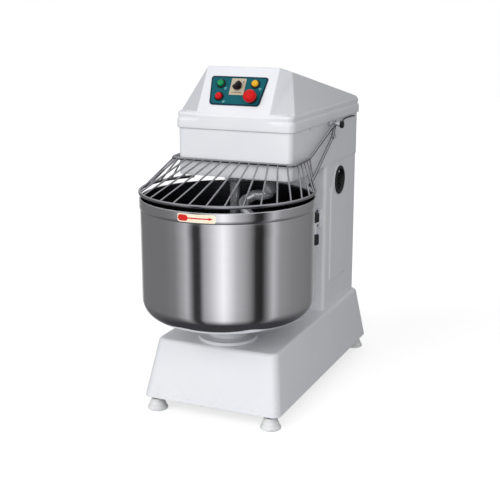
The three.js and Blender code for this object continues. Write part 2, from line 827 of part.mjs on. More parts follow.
const kneading = new THREE.Group();
machine.add(kneading);
piece("bowl", bowlBody(), stainless, kneading);
piece("rotation_label", bandLabel(), finish(0xf0e6d0, 0.6, 0), kneading);
piece("bowl_shaft", turned(bowlShaftProfile, 0, bowlY), steel, kneading);
piece("bowl_sprocket",
  wheelBlank(wheel.bowlSprocket, level.bowlChain, 8, 42, 24, 25, 0, bowlY), steel, kneading);
piece("bowl_bearing_housing", turned(bowlBearingProfile, 0, bowlY), castIron, kneading);
const barFlange = join(
  block(bar.x - 16, bar.x + 44, bar.y - 25, bar.y + 25, 649, head.bottom),
  disc(19, bar.top, 652, bar.x, bar.y),
);
piece("breaker_bar_flange", barFlange, stainless, kneading);
piece("breaker_bar",
  turned([[0, bar.bottom], [bar.radius - 4, bar.bottom], [bar.radius, bar.bottom + 6],
    [bar.radius, bar.top - gap], [0, bar.top - gap]], bar.x, bar.y, 24), stainless, kneading);
piece("spiral_hook", spiralHook(), stainless, kneading);
for (const [place, side] of [["right", 1], ["left", -1]]) {
  piece("guide_roller_" + place, guideRoller(side), rubber, kneading);
  piece("guide_roller_bracket_" + place, rollerBracket(side), steel, kneading);
}

const drive = new THREE.Group();
machine.add(drive);
piece("spiral_bearing_housing",
  cut(join(disc(44, plateTop + gap, 735, spiral.x, spiral.y),
    disc(50, plateTop + gap, plateTop + 9, spiral.x, spiral.y)),
  disc(spiral.shaft + 1, 640, 760, spiral.x, spiral.y)), castIron, drive);
piece("spiral_sprocket",
  wheelBlank(wheel.spiralSprocket, level.spiralChain, 8, 34, 22, spiral.shaft, spiral.x, spiral.y),
  steel, drive);
piece("countershaft_bearing_housing",
  housing(38, counter.shaft + 1, plateTop + gap, 712, 50, counter.x, counter.y), castIron, drive);
piece("countershaft", turned(counterProfile, counter.x, counter.y, 32), steel, drive);
piece("countershaft_sprocket",
  wheelBlank(wheel.counterSprocket, level.spiralChain, 8, 18, 20, counter.shaft, counter.x,
    counter.y), steel, drive);
piece("countershaft_pulley",
  pulley(wheel.counterPulley, level.motorBelt, 16, counter.shaft, counter.x, counter.y), castIron,
  drive);
piece("layshaft", disc(lay.shaft, 62, 742, lay.x, lay.y, 20), steel, drive);
piece("layshaft_pulley",
  pulley(wheel.layPulley, level.bowlBelt, 14, lay.shaft, lay.x, lay.y), castIron, drive);
piece("layshaft_sprocket",
  wheelBlank(wheel.laySprocket, level.bowlChain, 8, 17, 20, lay.shaft, lay.x, lay.y), steel, drive);
piece("layshaft_upper_bearing", layUpperBearing(), castIron, drive);
piece("layshaft_lower_bearing",
  housing(30, lay.shaft + 1, floorPlate.high + gap, 84, 45, lay.x, lay.y), castIron, drive);
piece("motor_body", motorBody(), castIron, drive);
piece("motor_bracket", motorBracket(), steel, drive);
piece("motor_shaft", disc(motor.shaft, 566, level.motorBelt + 14, motor.x, motor.y, 20), steel,
  drive);
piece("motor_pulley",
  pulley(wheel.motorPulley, level.motorBelt, 16, motor.shaft, motor.x, motor.y), castIron, drive);
piece("motor_belt",
  loop(motor, counter, wheel.motorPulley, wheel.counterPulley, level.motorBelt, 11, 4, 6), rubber,
  drive);
piece("bowl_belt",
  loop(counter, lay, wheel.counterSheave, wheel.layPulley, level.bowlBelt, 10, 4, 6), rubber, drive);
piece("spiral_chain",
  loop(counter, spiral, wheel.counterSprocket, wheel.spiralSprocket, level.spiralChain, 9, 1, 6),
  steel, drive);
piece("bowl_chain",
  loop(lay, { x: 0, y: bowlY }, wheel.laySprocket, wheel.bowlSprocket, level.bowlChain, 9, 1, 7),
  steel, drive);

const guarding = new THREE.Group();
machine.add(guarding);
piece("guard_cage", guardCage(), darkChrome, guarding);
piece("guard_pivot_right", pivotPin(1, 7), steel, guarding);
piece("guard_pivot_left", pivotPin(-1, 10), steel, guarding);
const switchFace = pivot.reach + gap;
piece("guard_switch", crossRod(11, switchFace, switchFace + 9, back(pivot.back), pivot.height, 20),
  black, guarding);
piece("guard_switch_cable", switchCable(), black, guarding);

export default machine;
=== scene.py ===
"""The looks of a floor-standing spiral dough mixer, built round its packed frame.

Metres, X to the right, Y to the back and Z up, from the floor under the middle of the machine.
"""
import json
import math

import bmesh
import bpy
import numpy as np
from bpy.props import FloatProperty, FloatVectorProperty, IntProperty, PointerProperty
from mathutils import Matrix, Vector

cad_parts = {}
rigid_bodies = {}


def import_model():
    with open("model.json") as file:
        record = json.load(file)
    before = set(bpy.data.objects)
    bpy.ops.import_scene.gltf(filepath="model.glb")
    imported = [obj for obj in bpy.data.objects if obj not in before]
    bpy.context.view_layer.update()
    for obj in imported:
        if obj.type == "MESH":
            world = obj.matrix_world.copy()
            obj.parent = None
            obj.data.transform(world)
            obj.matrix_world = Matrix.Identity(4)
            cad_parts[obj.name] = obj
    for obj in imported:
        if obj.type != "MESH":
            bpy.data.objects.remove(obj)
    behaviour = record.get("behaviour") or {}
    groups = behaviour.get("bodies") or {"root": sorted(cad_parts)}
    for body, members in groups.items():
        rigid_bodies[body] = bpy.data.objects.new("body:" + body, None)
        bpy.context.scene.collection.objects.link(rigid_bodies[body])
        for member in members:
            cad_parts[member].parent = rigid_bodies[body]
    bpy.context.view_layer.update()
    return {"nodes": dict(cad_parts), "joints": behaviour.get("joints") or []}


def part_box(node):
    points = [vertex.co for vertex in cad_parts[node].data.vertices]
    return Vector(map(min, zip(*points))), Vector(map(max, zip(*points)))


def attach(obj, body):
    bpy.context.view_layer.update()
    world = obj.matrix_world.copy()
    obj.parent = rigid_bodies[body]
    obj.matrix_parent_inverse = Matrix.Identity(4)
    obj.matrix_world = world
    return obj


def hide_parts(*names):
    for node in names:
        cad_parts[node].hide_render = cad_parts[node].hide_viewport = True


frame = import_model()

MM = 0.001

bl_info = {
    "name": "Spiral Mixer Looks",
    "version": (1, 0, 0),
    "blender": (4, 5, 0),
    "location": "3D View > Sidebar > Mixer",
    "description": "Builds the visible pieces, finishes and studio of a spiral dough mixer",
    "category": "Add Mesh",
}

# Places read from the frame.


def corners(node):
    """Lowest and highest corner of a node at rest, as arrays."""
    low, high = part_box(node)
    return np.array(low), np.array(high)


def middle(node):
    """Middle of a node's box at rest."""
    low, high = corners(node)
    return (low + high) / 2


def joint_at(name):
    """A point on the axis of a joint."""
    return np.array(JOINTS[name]["pos_m"], float)


JOINTS = {joint["name"]: joint for joint in frame["joints"]}
BOWL_LOW, BOWL_HIGH = corners("bowl")
BOWL_CENTRE = joint_at("bowl_spin")[:2]
HEAD_LOW, HEAD_HIGH = corners("head_casing")
COLUMN_LOW, COLUMN_HIGH = corners("column_casing")
BASE_LOW, BASE_HIGH = corners("base_casing")
COVER_LOW, COVER_HIGH = corners("head_cover")
GUARD_LOW, GUARD_HIGH = corners("guard_cage")
PANEL_NORMAL = np.array(JOINTS["selector_turn"]["axis"], float)
IDENTITY = np.eye(3)
SIDES = (("right", 1), ("left", -1))
FOOT_TOP = 33  # Height of a foot's collar above the floor, in millimetres.

# Sizes and colours that a user would change.


def length(name, description, millimetres):
    """A length setting whose default is given in millimetres."""
    return FloatProperty(
        name=name, description=description, default=millimetres * MM, unit="LENGTH")


class BodyworkSettings(bpy.types.PropertyGroup):
    """Painted sheet-steel bodywork."""

    paint: FloatVectorProperty(
        name="Paint", description="Colour of the powder coat, as linear values",
        subtype="COLOR", size=3, default=(0.823, 0.831, 0.864), min=0, max=1)
    base_corner: length("Base Corner", "Radius of the base's upright corners", 26)
    base_lean_side: length("Side Lean", "How far each side of the base leans in at the top", 25.5)
    base_lean_front: length("Front Lean", "How far the front of the base leans in at the top", 45)
    base_lean_rear: length("Rear Lean", "How far the rear of the base leans in at the top", 27.4)
    fold: length("Fold Radius", "Radius of the folded top edge of the base", 9)
    column_corner: length("Column Corner", "Radius of the column's upright corners", 10)
    head_corner: length("Head Corner", "Radius of the head's upright corners", 18)
    hood_edge: length("Hood Edge", "Width of the softened edges of the cover's facets", 9)
    sheet: length("Sheet", "Thickness of the bodywork's sheet", 3)


class BowlSettings(bpy.types.PropertyGroup):
    """Bowl, hook and breaker bar."""

    wall: length("Wall", "Thickness of the bowl's wall", 3)
    band: length("Band", "How far the rim band stands proud", 2.5)
    band_height: length("Band Height", "Height of the rim band", 29)
    fillet: length("Fillet", "Radius between the bowl's wall and floor", 52)
    hook_reach: length("Hook Reach", "Distance of the hook's rod from its axis", 76)
    hook_rod: length("Hook Rod", "Radius of the hook's rod", 15)
    hook_turns: FloatProperty(
        name="Hook Turns", description="Turns of the spiral below its arm", default=1.3)


class GuardSettings(bpy.types.PropertyGroup):
    """Wire guard."""

    rod: length("Rod", "Radius of the ring and frame rod", 4.5)
    wire: length("Wire", "Radius of the guard's wires", 2.5)
    front_wires: IntProperty(
        name="Front Wires", description="Wires across the front bar", default=13, min=3)
    front_pitch: length("Front Pitch", "Distance between the tops of the front wires", 27.6)
    side_wires: IntProperty(
        name="Side Wires", description="Wires on each side", default=5, min=1)
    side_pitch: length("Side Pitch", "Distance between the tops of the side wires", 23)
    ring_end: FloatProperty(
        name="Ring End", description="Where the open ring stops, past its widest point",
        default=math.radians(40), subtype="ANGLE")


class PanelSettings(bpy.types.PropertyGroup):
    """Control panel."""

    film: FloatVectorProperty(
        name="Film", description="Colour of the printed film, as linear values",
        subtype="COLOR", size=3, default=(0.004, 0.105, 0.128), min=0, max=1)
    border: length("Border", "Width of the plate's dark border", 4.2)
    corner: length("Corner", "Radius of the plate's corners", 10)
    taper: length("Taper", "How much narrower each side of the plate is at the bottom", 12)


class StudioSettings(bpy.types.PropertyGroup):
    """Camera and light."""

    camera: FloatVectorProperty(
        name="Camera", description="Place of the camera", subtype="XYZ", unit="LENGTH",
        size=3, default=(1.1461, -2.6703, 1.1501))
    bearing: FloatProperty(
        name="Bearing", description="How far the camera is turned to the left",
        subtype="ANGLE", default=math.radians(23.65))
    drop: FloatProperty(
        name="Drop", description="How far the camera looks down", subtype="ANGLE",
        default=math.radians(14.24))
    lens: FloatProperty(
        name="Lens", description="Focal length in millimetres", default=72.37)
    ambient: FloatProperty(
        name="Ambient", description="Brightness of the light from all round", default=0.40)
    key: FloatProperty(
        name="Key", description="Strength of the key light", default=1.5)
    fill: FloatProperty(
        name="Fill", description="Power of the soft box on the right, in watts", default=15)


# Meshes.


def mesh_object(name, points, faces, sharp=35):
    """A new object at the origin from points and faces, welded, closed faces turned outwards, and
    smooth apart from edges steeper than `sharp` degrees."""
    mesh = bpy.data.meshes.new(name)
    mesh.from_pydata(np.asarray(points, float).tolist(), [], [list(face) for face in faces])
    work = bmesh.new()
    work.from_mesh(mesh)
    bmesh.ops.remove_doubles(work, verts=work.verts, dist=1e-6)
    bmesh.ops.recalc_face_normals(work, faces=work.faces)
    work.to_mesh(mesh)
    work.free()
    mesh.shade_smooth()
    if sharp is not None:
        mesh.set_sharp_from_angle(angle=math.radians(sharp))
    piece = bpy.data.objects.new(name, mesh)
    bpy.context.scene.collection.objects.link(piece)
    return piece


def ring_faces(rings, count, closed=False, first=0):
    """Quads between neighbouring rings of `count` points, with a flat cap on each open end."""
    row = np.arange(rings if closed else rings - 1)[:, None]
    column = np.arange(count)[None, :]
    after = (column + 1) % count
    above = (row + 1) % rings
    quads = np.stack([row * count + column, row * count + after,
                      above * count + after, above * count + column], axis=-1)
    faces = (quads.reshape(-1, 4) + first).tolist()
    if not closed:
        faces.append((np.arange(count)[::-1] + first).tolist())
        faces.append((np.arange(count) + (rings - 1) * count + first).tolist())
    return faces


def skins(name, parts, closed=False, sharp=35):
    """One object from several stacks of rings, each an array (rings, points, 3)."""
    points = []
    faces = []
    total = 0
    for rings in parts:
        faces += ring_faces(rings.shape[0], rings.shape[1], closed, total)
        points.append(rings.reshape(-1, 3))
        total += rings.shape[0] * rings.shape[1]
    return mesh_object(name, np.vstack(points), faces, sharp)


def unit(vector):
    """The vector at length 1."""
    return np.asarray(vector, float) / np.linalg.norm(vector)


def in_mm(profile):
    """A profile written in millimetres, in metres."""
    return [(across * MM, up * MM) for across, up in profile]


def turned(profile, centre, turn=IDENTITY, count=64):
    """Rings of a turned shape: each profile point (radius, height) goes round the local Z axis, so
    x = radius cos a, y = radius sin a, z = height, then `turn`'s rows are the local axes."""
    profile = np.asarray(profile, float)
    angle = np.linspace(0, 2 * math.pi, count, endpoint=False)
    radius = profile[:, 0:1]
    flat = np.stack([radius * np.cos(angle), radius * np.sin(angle),
                     np.broadcast_to(profile[:, 1:2], (len(profile), count))], axis=-1)
    return flat @ turn + np.asarray(centre, float)


def arc(centre, radius, start, end, steps=6):
    """Points on a circle from start to end degrees."""
    angle = np.radians(np.linspace(start, end, steps + 1))
    return [(centre[0] + radius * math.cos(a), centre[1] + radius * math.sin(a)) for a in angle]


def axes_from(normal):
    """Local axes as rows whose third is `normal` and whose first is level."""
    third = unit(normal)
    level = np.cross((0, 0, 1), third)
    level = unit(level) if np.linalg.norm(level) > 1e-6 else np.array((1.0, 0, 0))
    return np.array([level, np.cross(third, level), third])


def rounded(left, right, front, rear, radius, steps=8):
    """Outline of a rectangle with round corners, anticlockwise from the right rear corner."""
    spots = ((right - radius, rear - radius, 0), (left + radius, rear - radius, 90),
             (left + radius, front + radius, 180), (right - radius, front + radius, 270))
    return np.array([p for x, y, a in spots for p in arc((x, y), radius, a, a + 90, steps)])


def polygon(sides, radius, turned_by=0):
    """Corners of a regular polygon, the first one `turned_by` degrees from the X axis."""
    angle = np.radians(np.arange(sides) * 360 / sides + turned_by)
    return np.column_stack([np.cos(angle), np.sin(angle)]) * radius


def at_height(outline, height):
    """A flat outline as points at one height."""
    return np.column_stack([outline, np.full(len(outline), height)])


def prism(outline, low, high, edge=0.0, turn=IDENTITY, centre=(0, 0, 0)):
    """Rings of an upright prism whose top edge is rounded by shrinking the outline towards its
    middle: at angle a, inset = edge (1 - cos a) and height = high - edge (1 - sin a)."""
    half = np.abs(outline - outline.mean(0)).max(0)
    rings = [at_height(outline, low)]
    for a in np.linspace(0, math.pi / 2, 4 if edge else 1):
        inset = edge * (1 - math.cos(a))
        shrunk = outline.mean(0) + (outline - outline.mean(0)) * (1 - inset / half)
        rings.append(at_height(shrunk, high - edge * (1 - math.sin(a))))
    return np.array(rings) @ turn + np.asarray(centre, float)


def box_rings(low, high, edge, turn, centre):
    """Rings of a box between two corners, with its upright and top edges rounded."""
    outline = rounded(low[0], high[0], low[1], high[1], edge, 3)
    return prism(outline, low[2], high[2], edge, turn, centre)


def swept(path, radius, count=12, round_ends=False, closed=False):
    """Rings of a tube along a path. The ring's frame is carried from each point to the next by
    taking away what leans along the new direction, so the tube doesn't twist."""
    path = np.asarray(path, float)
    ahead = np.roll(path, -1, 0) if closed else np.vstack([path[1:], 2 * path[-1] - path[-2]])
    behind = np.roll(path, 1, 0) if closed else np.vstack([2 * path[0] - path[1], path[:-1]])
    tangent = ahead - behind
    tangent /= np.linalg.norm(tangent, axis=1)[:, None]
    radii = np.broadcast_to(np.asarray(radius, float), len(path)).copy()
    if round_ends:
        dome = np.radians((80, 60, 40, 20))
        start = path[0] - tangent[0] * (radii[0] * np.sin(dome))[:, None]
        end = path[-1] + tangent[-1] * (radii[-1] * np.sin(dome[::-1]))[:, None]
        path = np.vstack([start, path, end])
        tangent = np.vstack([np.tile(tangent[0], (4, 1)), tangent, np.tile(tangent[-1], (4, 1))])
        radii = np.concatenate([radii[0] * np.cos(dome), radii, radii[-1] * np.cos(dome[::-1])])
    side = np.cross(tangent[0], (0, 0, 1) if abs(tangent[0][2]) < 0.9 else (1, 0, 0))
    across = []
    for direction in tangent:
        side = unit(side - direction * (side @ direction))
        across.append(side)
    across = np.array(across)[:, None, :]
    lift = np.cross(tangent[:, None, :], across)
    angle = np.linspace(0, 2 * math.pi, count, endpoint=False)[None, :, None]
    ring = across * np.cos(angle) + lift * np.sin(angle)
    return path[:, None, :] + ring * radii[:, None, None]


def spline(points, steps=8):
    """Catmull-Rom curve through the points."""
    p = np.asarray(points, float)
    p = np.vstack([2 * p[0] - p[1], p, 2 * p[-1] - p[-2]])
    t = np.linspace(0, 1, steps, endpoint=False)[None, :, None]
    a, b, c, d = p[:-3, None], p[1:-2, None], p[2:-1, None], p[3:, None]
    curve = 0.5 * (2 * b + (c - a) * t + (2 * a - 5 * b + 4 * c - d) * t ** 2
                   + (3 * b - a - 3 * c + d) * t ** 3)
    return np.vstack([curve.reshape(-1, 3), p[-2]])


def corner_curve(before, corner, after, reach, steps):
    """A quadratic curve round a corner, which starts and ends at `reach` from it."""
    start = corner - unit(corner - before) * reach
    end = corner + unit(after - corner) * reach
    return [start * (1 - t) ** 2 + 2 * corner * t * (1 - t) + end * t ** 2
            for t in np.linspace(0, 1, steps + 1)]


def bent(points, radii, steps=8):
    """A path of straight runs whose inner corners are bent to the given radii."""
    points = [np.asarray(p, float) for p in points]
    path = [points[0]]
    for before, corner, after, radius in zip(points, points[1:], points[2:], radii):
        cosine = float(np.clip(unit(corner - before) @ unit(after - corner), -1, 1))
        reach = radius * math.tan(0.5 * math.acos(cosine))
        path += corner_curve(before, corner, after, reach, steps)
    path.append(points[-1])
    return np.array(path)


def fluted(rings, origin, turn, depth):
    """Twelve shallow flutes round a turned shape: each point's radius is multiplied by
    1 - depth(radius) (1 + cos 12a) / 2, where a is its angle."""
    local = (rings - origin) @ turn.T
    angle = np.arctan2(local[..., 1], local[..., 0])
    share = depth(np.hypot(local[..., 0], local[..., 1]))
    local[..., :2] *= (1 - share * (0.5 + 0.5 * np.cos(12 * angle)))[..., None]
    return local @ turn + origin


def soften(piece, width, segments=3, angle=30):
    """Rounds a piece's edges with a bevel whose faces shade smoothly into their neighbours."""
    bevel = piece.modifiers.new("edges", "BEVEL")
    bevel.width = width
    bevel.segments = segments
    bevel.limit_method = "ANGLE"
    bevel.angle_limit = math.radians(angle)
    bevel.harden_normals = True
    return piece


# Finishes.


def linear(code):
    """A hex sRGB colour such as "c8c8cc" as linear RGBA."""
    values = np.array([int(code[i:i + 2], 16) for i in (0, 2, 4)]) / 255
    flat = np.where(values <= 0.04045, values / 12.92, ((values + 0.055) / 1.055) ** 2.4)
    return (*flat.tolist(), 1.0)


def add(tree, kind, inputs=None, **settings):
    """Adds a node, sets its settings, and gives each named input a value or a link."""
    node = tree.nodes.new(kind)
    for key, value in settings.items():
        setattr(node, key, value)
    for key, value in (inputs or {}).items():
        if isinstance(value, bpy.types.NodeSocket):
            tree.links.new(value, node.inputs[key])
        else:
            node.inputs[key].default_value = value
    return node


class Finish:
    """A Principled material with the patterns that its making leaves on the surface."""

    def __init__(self, name, colour, roughness, metallic=0.0, **sockets):
        self.material = bpy.data.materials.new(name)
        self.material.use_nodes = True
        self.tree = self.material.node_tree
        self.shader = next(n for n in self.tree.nodes if n.type == "BSDF_PRINCIPLED")
        self.colour = linear(colour) if isinstance(colour, str) else (*colour, 1.0)
        self.roughness = roughness
        values = {"Base Color": self.colour, "Roughness": roughness, "Metallic": metallic}
        for key, value in {**values, **sockets}.items():
            self.shader.inputs[key].default_value = value
        self.place = add(self.tree, "ShaderNodeTexCoord").outputs["Object"]
        self.bumped = None

    def cloud(self, size, stretch=(1, 1, 1), detail=3.0):
        """A noise whose features are `size` millimetres across, longer where stretch is small."""
        scaled = add(self.tree, "ShaderNodeMapping", {"Vector": self.place, "Scale": stretch})
        noise = add(self.tree, "ShaderNodeTexNoise", {
            "Vector": scaled.outputs["Vector"], "Scale": 1 / (size * MM), "Detail": detail})
        return noise.outputs["Fac"]

    def ramp(self, value, low, high, start=0.3, end=0.7):
        """A value carried from start..end to low..high."""
        made = add(self.tree, "ShaderNodeMapRange", {
            "Value": value, "From Min": start, "From Max": end, "To Min": low, "To Max": high})
        return made.outputs["Result"]

    def tinted(self, factor, other):
        """Fades the colour so far towards another one by a factor."""
        mix = add(self.tree, "ShaderNodeMix", data_type="RGBA")
        self.tree.links.new(factor, mix.inputs[0])
        linked = self.shader.inputs["Base Color"].links
        if linked:
            self.tree.links.new(linked[0].from_socket, mix.inputs[6])
        else:
            mix.inputs[6].default_value = self.colour
        mix.inputs[7].default_value = linear(other)
        self.tree.links.new(mix.outputs[2], self.shader.inputs["Base Color"])
        return self

    def patchy(self, other, size, amount=0.5, spread=0.06, stretch=(1, 1, 1)):
        """Colour and gloss that wander over the surface."""
        noise = self.cloud(size, stretch)
        self.tinted(self.ramp(noise, 0.0, amount), other)
        gloss = self.ramp(noise, self.roughness - spread, self.roughness + spread)
        self.tree.links.new(gloss, self.shader.inputs["Roughness"])
        return self

    def grained(self, size, depth, stretch=(1, 1, 1)):
        """Relief of `depth` millimetres, added to any there is already."""
        inputs = {"Height": self.cloud(size, stretch, 2.0), "Distance": depth * MM,
                  "Strength": 1.0}
        if self.bumped is not None:
            inputs["Normal"] = self.bumped
        self.bumped = add(self.tree, "ShaderNodeBump", inputs).outputs["Normal"]
        self.tree.links.new(self.bumped, self.shader.inputs["Normal"])
        return self

    def scuffed_below(self, height, other, amount=0.5):
        """Scuffs and grime that thin out upwards and end at a height above the floor."""
        split = add(self.tree, "ShaderNodeSeparateXYZ", {"Vector": self.place})
        near = self.ramp(split.outputs["Z"], 1.0, 0.0, 0.0, height)
        marks = self.ramp(self.cloud(14, (1, 1, 2.5), 6.0), 0.0, amount, 0.56, 0.72)
        both = add(self.tree, "ShaderNodeMath", {0: near, 1: marks}, operation="MULTIPLY")
        return self.tinted(both.outputs[0], other)


def powder_coat(name):
    """Polyester powder coat on sheet steel: a satin gloss over a faint orange peel about 2 mm
    across, with a slight change of tone from panel to panel and scuffs near the floor."""
    paint = bpy.context.scene.mixer_bodywork.paint
    made = Finish(name, tuple(paint), 0.34, IOR=1.5, **{"Coat Weight": 0.25, "Coat Roughness": 0.2})
    made.patchy("dfe2e8", 160, 0.5, 0.05).scuffed_below(0.11, "b3b2ae", 0.35)
    return made.grained(2.4, 0.012).grained(60, 0.05).material


def polished_stainless(name):
    """Spun and polished 304 stainless: a near mirror with hair-fine rings left by the polishing
    belt, drawn 1 mm apart so that they show, and a very slight waviness from spinning."""
    made = Finish(name, "d9d9dc", 0.1, 1.0)
    made.patchy("cdcdd1", 1.2, 0.25, 0.015, (0.01, 0.01, 1))
    return made.grained(1.0, 0.0003, (0.01, 0.01, 1)).grained(90, 0.012, (1, 1, 0.15)).material


def shaded_inside_stainless(name):
    """The inside of the bowl: the same steel, satin from kneading and scouring, with its colour painted
    dark grey as painted shade for the dark reflections that fill the bowl, and circular scratches 2 mm
    apart."""
    made = Finish(name, "4b4c50", 0.3, 1.0)
    made.patchy("3a3b3f", 2.0, 0.7, 0.06, (0.02, 0.02, 1))
    return made.grained(2.0, 0.004, (0.02, 0.02, 1)).material


def cast_stainless_painted_sheen(name):
    """Cast and hand-polished stainless with soft uneven polishing marks 6 mm across. Its colour is kept
    light and partly matt, so that the even light gives it a painted sheen in place of the bright
    reflections it would take from the bowl.
    """
    made = Finish(name, "dcdde0", 0.24, 0.72)
    return made.patchy("b4b5ba", 7, 0.5, 0.05).grained(6, 0.02).grained(0.9, 0.004).material


def dark_chrome(name):
    """Bright chromed wire with its colour painted dark: a painted dark reflection, over which the
    surroundings leave thin bright lines, and fine drawn streaks.
    """
    made = Finish(name, "35363a", 0.17, 1.0)
    return made.patchy("1c1d20", 9, 0.6, 0.06).grained(1.5, 0.006).material


def zinc_plate(name):
    """Zinc-plated steel: cool and bright, with a mottled spangle about 3 mm across."""
    made = Finish(name, "e6e8ec", 0.3, 0.75)
    return made.patchy("b4b8c0", 3, 0.6, 0.1).grained(1.2, 0.008).material


def machined_steel(name):
    """Turned and ground mild steel: grey with tool rings 1 mm apart and oiled darker patches."""
    made = Finish(name, "8f9297", 0.32, 1.0)
    made.patchy("6d6f73", 25, 0.6, 0.08)
    return made.grained(1.0, 0.01, (0.15, 0.15, 1)).material


def rolled_plate(name):
    """Hot-rolled plate: dull blue-grey scale with darker blotches and a rough skin."""
    made = Finish(name, "6c6f75", 0.5, 0.9)
    return made.patchy("494b50", 30, 0.8, 0.12).grained(3, 0.03).material


def cast_iron(name):
    """Sand-cast iron under dark grey primer: grainy, matt, with rust-brown showing through."""
    made = Finish(name, "4b4f55", 0.62, 0.35)
    return made.patchy("5a4a40", 12, 0.45, 0.1).grained(1.6, 0.12).grained(8, 0.1).material


def galvanised_sheet(name):
    """Galvanised sheet: flat grey zinc crystals about 8 mm across."""
    made = Finish(name, "a9adb3", 0.38, 0.95)
    cells = add(made.tree, "ShaderNodeTexVoronoi", {"Vector": made.place, "Scale": 1 / (8 * MM)})
    split = add(made.tree, "ShaderNodeSeparateColor", {"Color": cells.outputs["Color"]})
    made.tinted(made.ramp(split.outputs[0], 0.0, 0.6, 0.0, 1.0), "868b92")
    return made.grained(2, 0.01).material


def black_abs(name):
    """Moulded black ABS: a spark-eroded grain under half a millimetre, dusty on its flats."""
    made = Finish(name, "0d0e10", 0.45, IOR=1.54, **{"Specular IOR Level": 0.3})
    return made.patchy("191a1d", 20, 0.6, 0.08).grained(0.7, 0.025).material


def moulded_nylon(name):
    """White nylon: slightly waxy, with flow marks and a little floor grime at the bottom."""
    made = Finish(name, "eceded", 0.4, IOR=1.53, **{"Subsurface Weight": 0.05})
    made.patchy("dadbdd", 22, 0.6, 0.06).scuffed_below(0.012, "9d9b96", 0.7)
    return made.grained(1.2, 0.015).material


def roller_rubber(name):
    """Nitrile rubber: matt black with a fine rubbed bloom and flow lines round it."""
    made = Finish(name, "17181a", 0.72, IOR=1.52)
    return made.patchy("2b2c2e", 6, 0.6, 0.08, (1, 1, 3)).grained(0.8, 0.05).material


def belt_rubber(name):
    """Cloth-backed belt rubber: matt, with a woven grain a millimetre across."""
    made = Finish(name, "1c1c1e", 0.82, IOR=1.5)
    weave = add(made.tree, "ShaderNodeTexWave", {
        "Vector": made.place, "Scale": 1 / (2 * MM), "Distortion": 0.4}, bands_direction="DIAGONAL")
    bump = add(made.tree, "ShaderNodeBump", {"Height": weave.outputs["Fac"], "Distance": 0.1 * MM})
    made.bumped = bump.outputs["Normal"]
    return made.patchy("333335", 10, 0.5, 0.06).grained(1, 0.03).material


def roller_chain(name):
    """Oiled chain steel: dark links 12 mm long told apart by bands of tone and relief."""
    made = Finish(name, "55565a", 0.38, 1.0)
    bands = add(made.tree, "ShaderNodeTexWave", {
        "Vector": made.place, "Scale": 1 / (24 * MM), "Distortion": 0.0}, bands_direction="DIAGONAL")
    made.tinted(made.ramp(bands.outputs["Fac"], 0.0, 0.8, 0.4, 0.6), "26272a")
    bump = add(made.tree, "ShaderNodeBump", {"Height": bands.outputs["Fac"], "Distance": 0.8 * MM})
    made.bumped = bump.outputs["Normal"]
    return made.grained(1.5, 0.03).material


def printed_film(name):
    """Polycarbonate film over a teal print: smooth, with the fine velvet texture of such films."""
    film = bpy.context.scene.mixer_panel.film
    made = Finish(name, tuple(film), 0.38, IOR=1.58, **{"Specular IOR Level": 0.12})
    return made.patchy("0f5a66", 18, 0.4, 0.05).grained(0.6, 0.01).material


def printed_border(name):
    """The same film where it is printed navy round the edge."""
    made = Finish(name, "082a3a", 0.36, IOR=1.58, **{"Specular IOR Level": 0.12})
    return made.patchy("0a2c3a", 12, 0.5, 0.05).grained(0.6, 0.01).material


def printed_marks(name):
    """Pale blue screen print, very slightly uneven."""
    made = Finish(name, "8fc3c8", 0.5, IOR=1.5)
    return made.patchy("6fb0b8", 2, 0.5, 0.05).grained(0.5, 0.005).material


def anodised_legend(name):
    """Champagne anodised aluminium: a fine brushed grain across it, half a millimetre apart."""
    made = Finish(name, "c9bda6", 0.46, 0.35)
    made.patchy("b5a88f", 1.0, 0.5, 0.06, (0.06, 1, 1))
    return made.grained(0.6, 0.006, (0.06, 1, 1)).material


def dark_print(name):
    """Dark red-brown print on the legend."""
    made = Finish(name, "5b2b2a", 0.5, IOR=1.5)
    return made.patchy("47201f", 3, 0.5, 0.05).grained(0.5, 0.004).material


def cream_film(name):
    """Cream vinyl label: a soft sheen and a faint wrinkle, a little yellowed."""
    made = Finish(name, "f6efdd", 0.42, IOR=1.5)
    return made.patchy("f2ddb4", 22, 0.6, 0.05).grained(14, 0.05).grained(0.9, 0.006).material


def red_film(name):
    """Red vinyl print on the label."""
    made = Finish(name, "d81f16", 0.4, IOR=1.5)
    return made.patchy("b8160f", 8, 0.5, 0.05).grained(0.9, 0.006).material


def coloured_cap(name, colour, deep):
    """Glossy moulded polycarbonate button: even colour, deeper where it is thick."""
    made = Finish(name, colour, 0.3, IOR=1.58, **{"Specular IOR Level": 0.2, "Coat Weight": 0.06,
                                                   "Coat Roughness": 0.1})
    return made.patchy(deep, 9, 0.5, 0.05).grained(0.8, 0.008).material


CAP_COLOURS = {
    "green_cap": ("12935a", "0a6b3e"),
    "red_cap": ("d80c12", "a8060a"),
    "yellow_cap": ("e8b42c", "cf9415"),
}


def finish(maker):
    """The material of a finish, which is a maker or a cap's colour, made when first asked for."""
    if isinstance(maker, str):
        return bpy.data.materials.get(maker) or coloured_cap(maker, *CAP_COLOURS[maker])
    return bpy.data.materials.get(maker.__name__) or maker(maker.__name__)


def fit(piece, maker, body, slot, *nodes):
    """Gives a piece its finish, its body and the nodes that it stands for. The slot argument is not used.
    """
    piece.data.materials.append(finish(maker))
    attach(piece, body)
    if nodes:
        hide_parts(*nodes)
    return piece


# Pieces.


def lean_outline(t, inset):
    """The base's outline at share t of its height, drawn in by `inset` all round."""
    size = bpy.context.scene.mixer_bodywork
    side = BASE_HIGH[0] - size.base_lean_side * t - inset
    front = BASE_LOW[1] + size.base_lean_front * t + inset
    rear = BASE_HIGH[1] - size.base_lean_rear * t - inset
    return rounded(-side, side, front, rear, max(size.base_corner - inset, 1 * MM), 12)


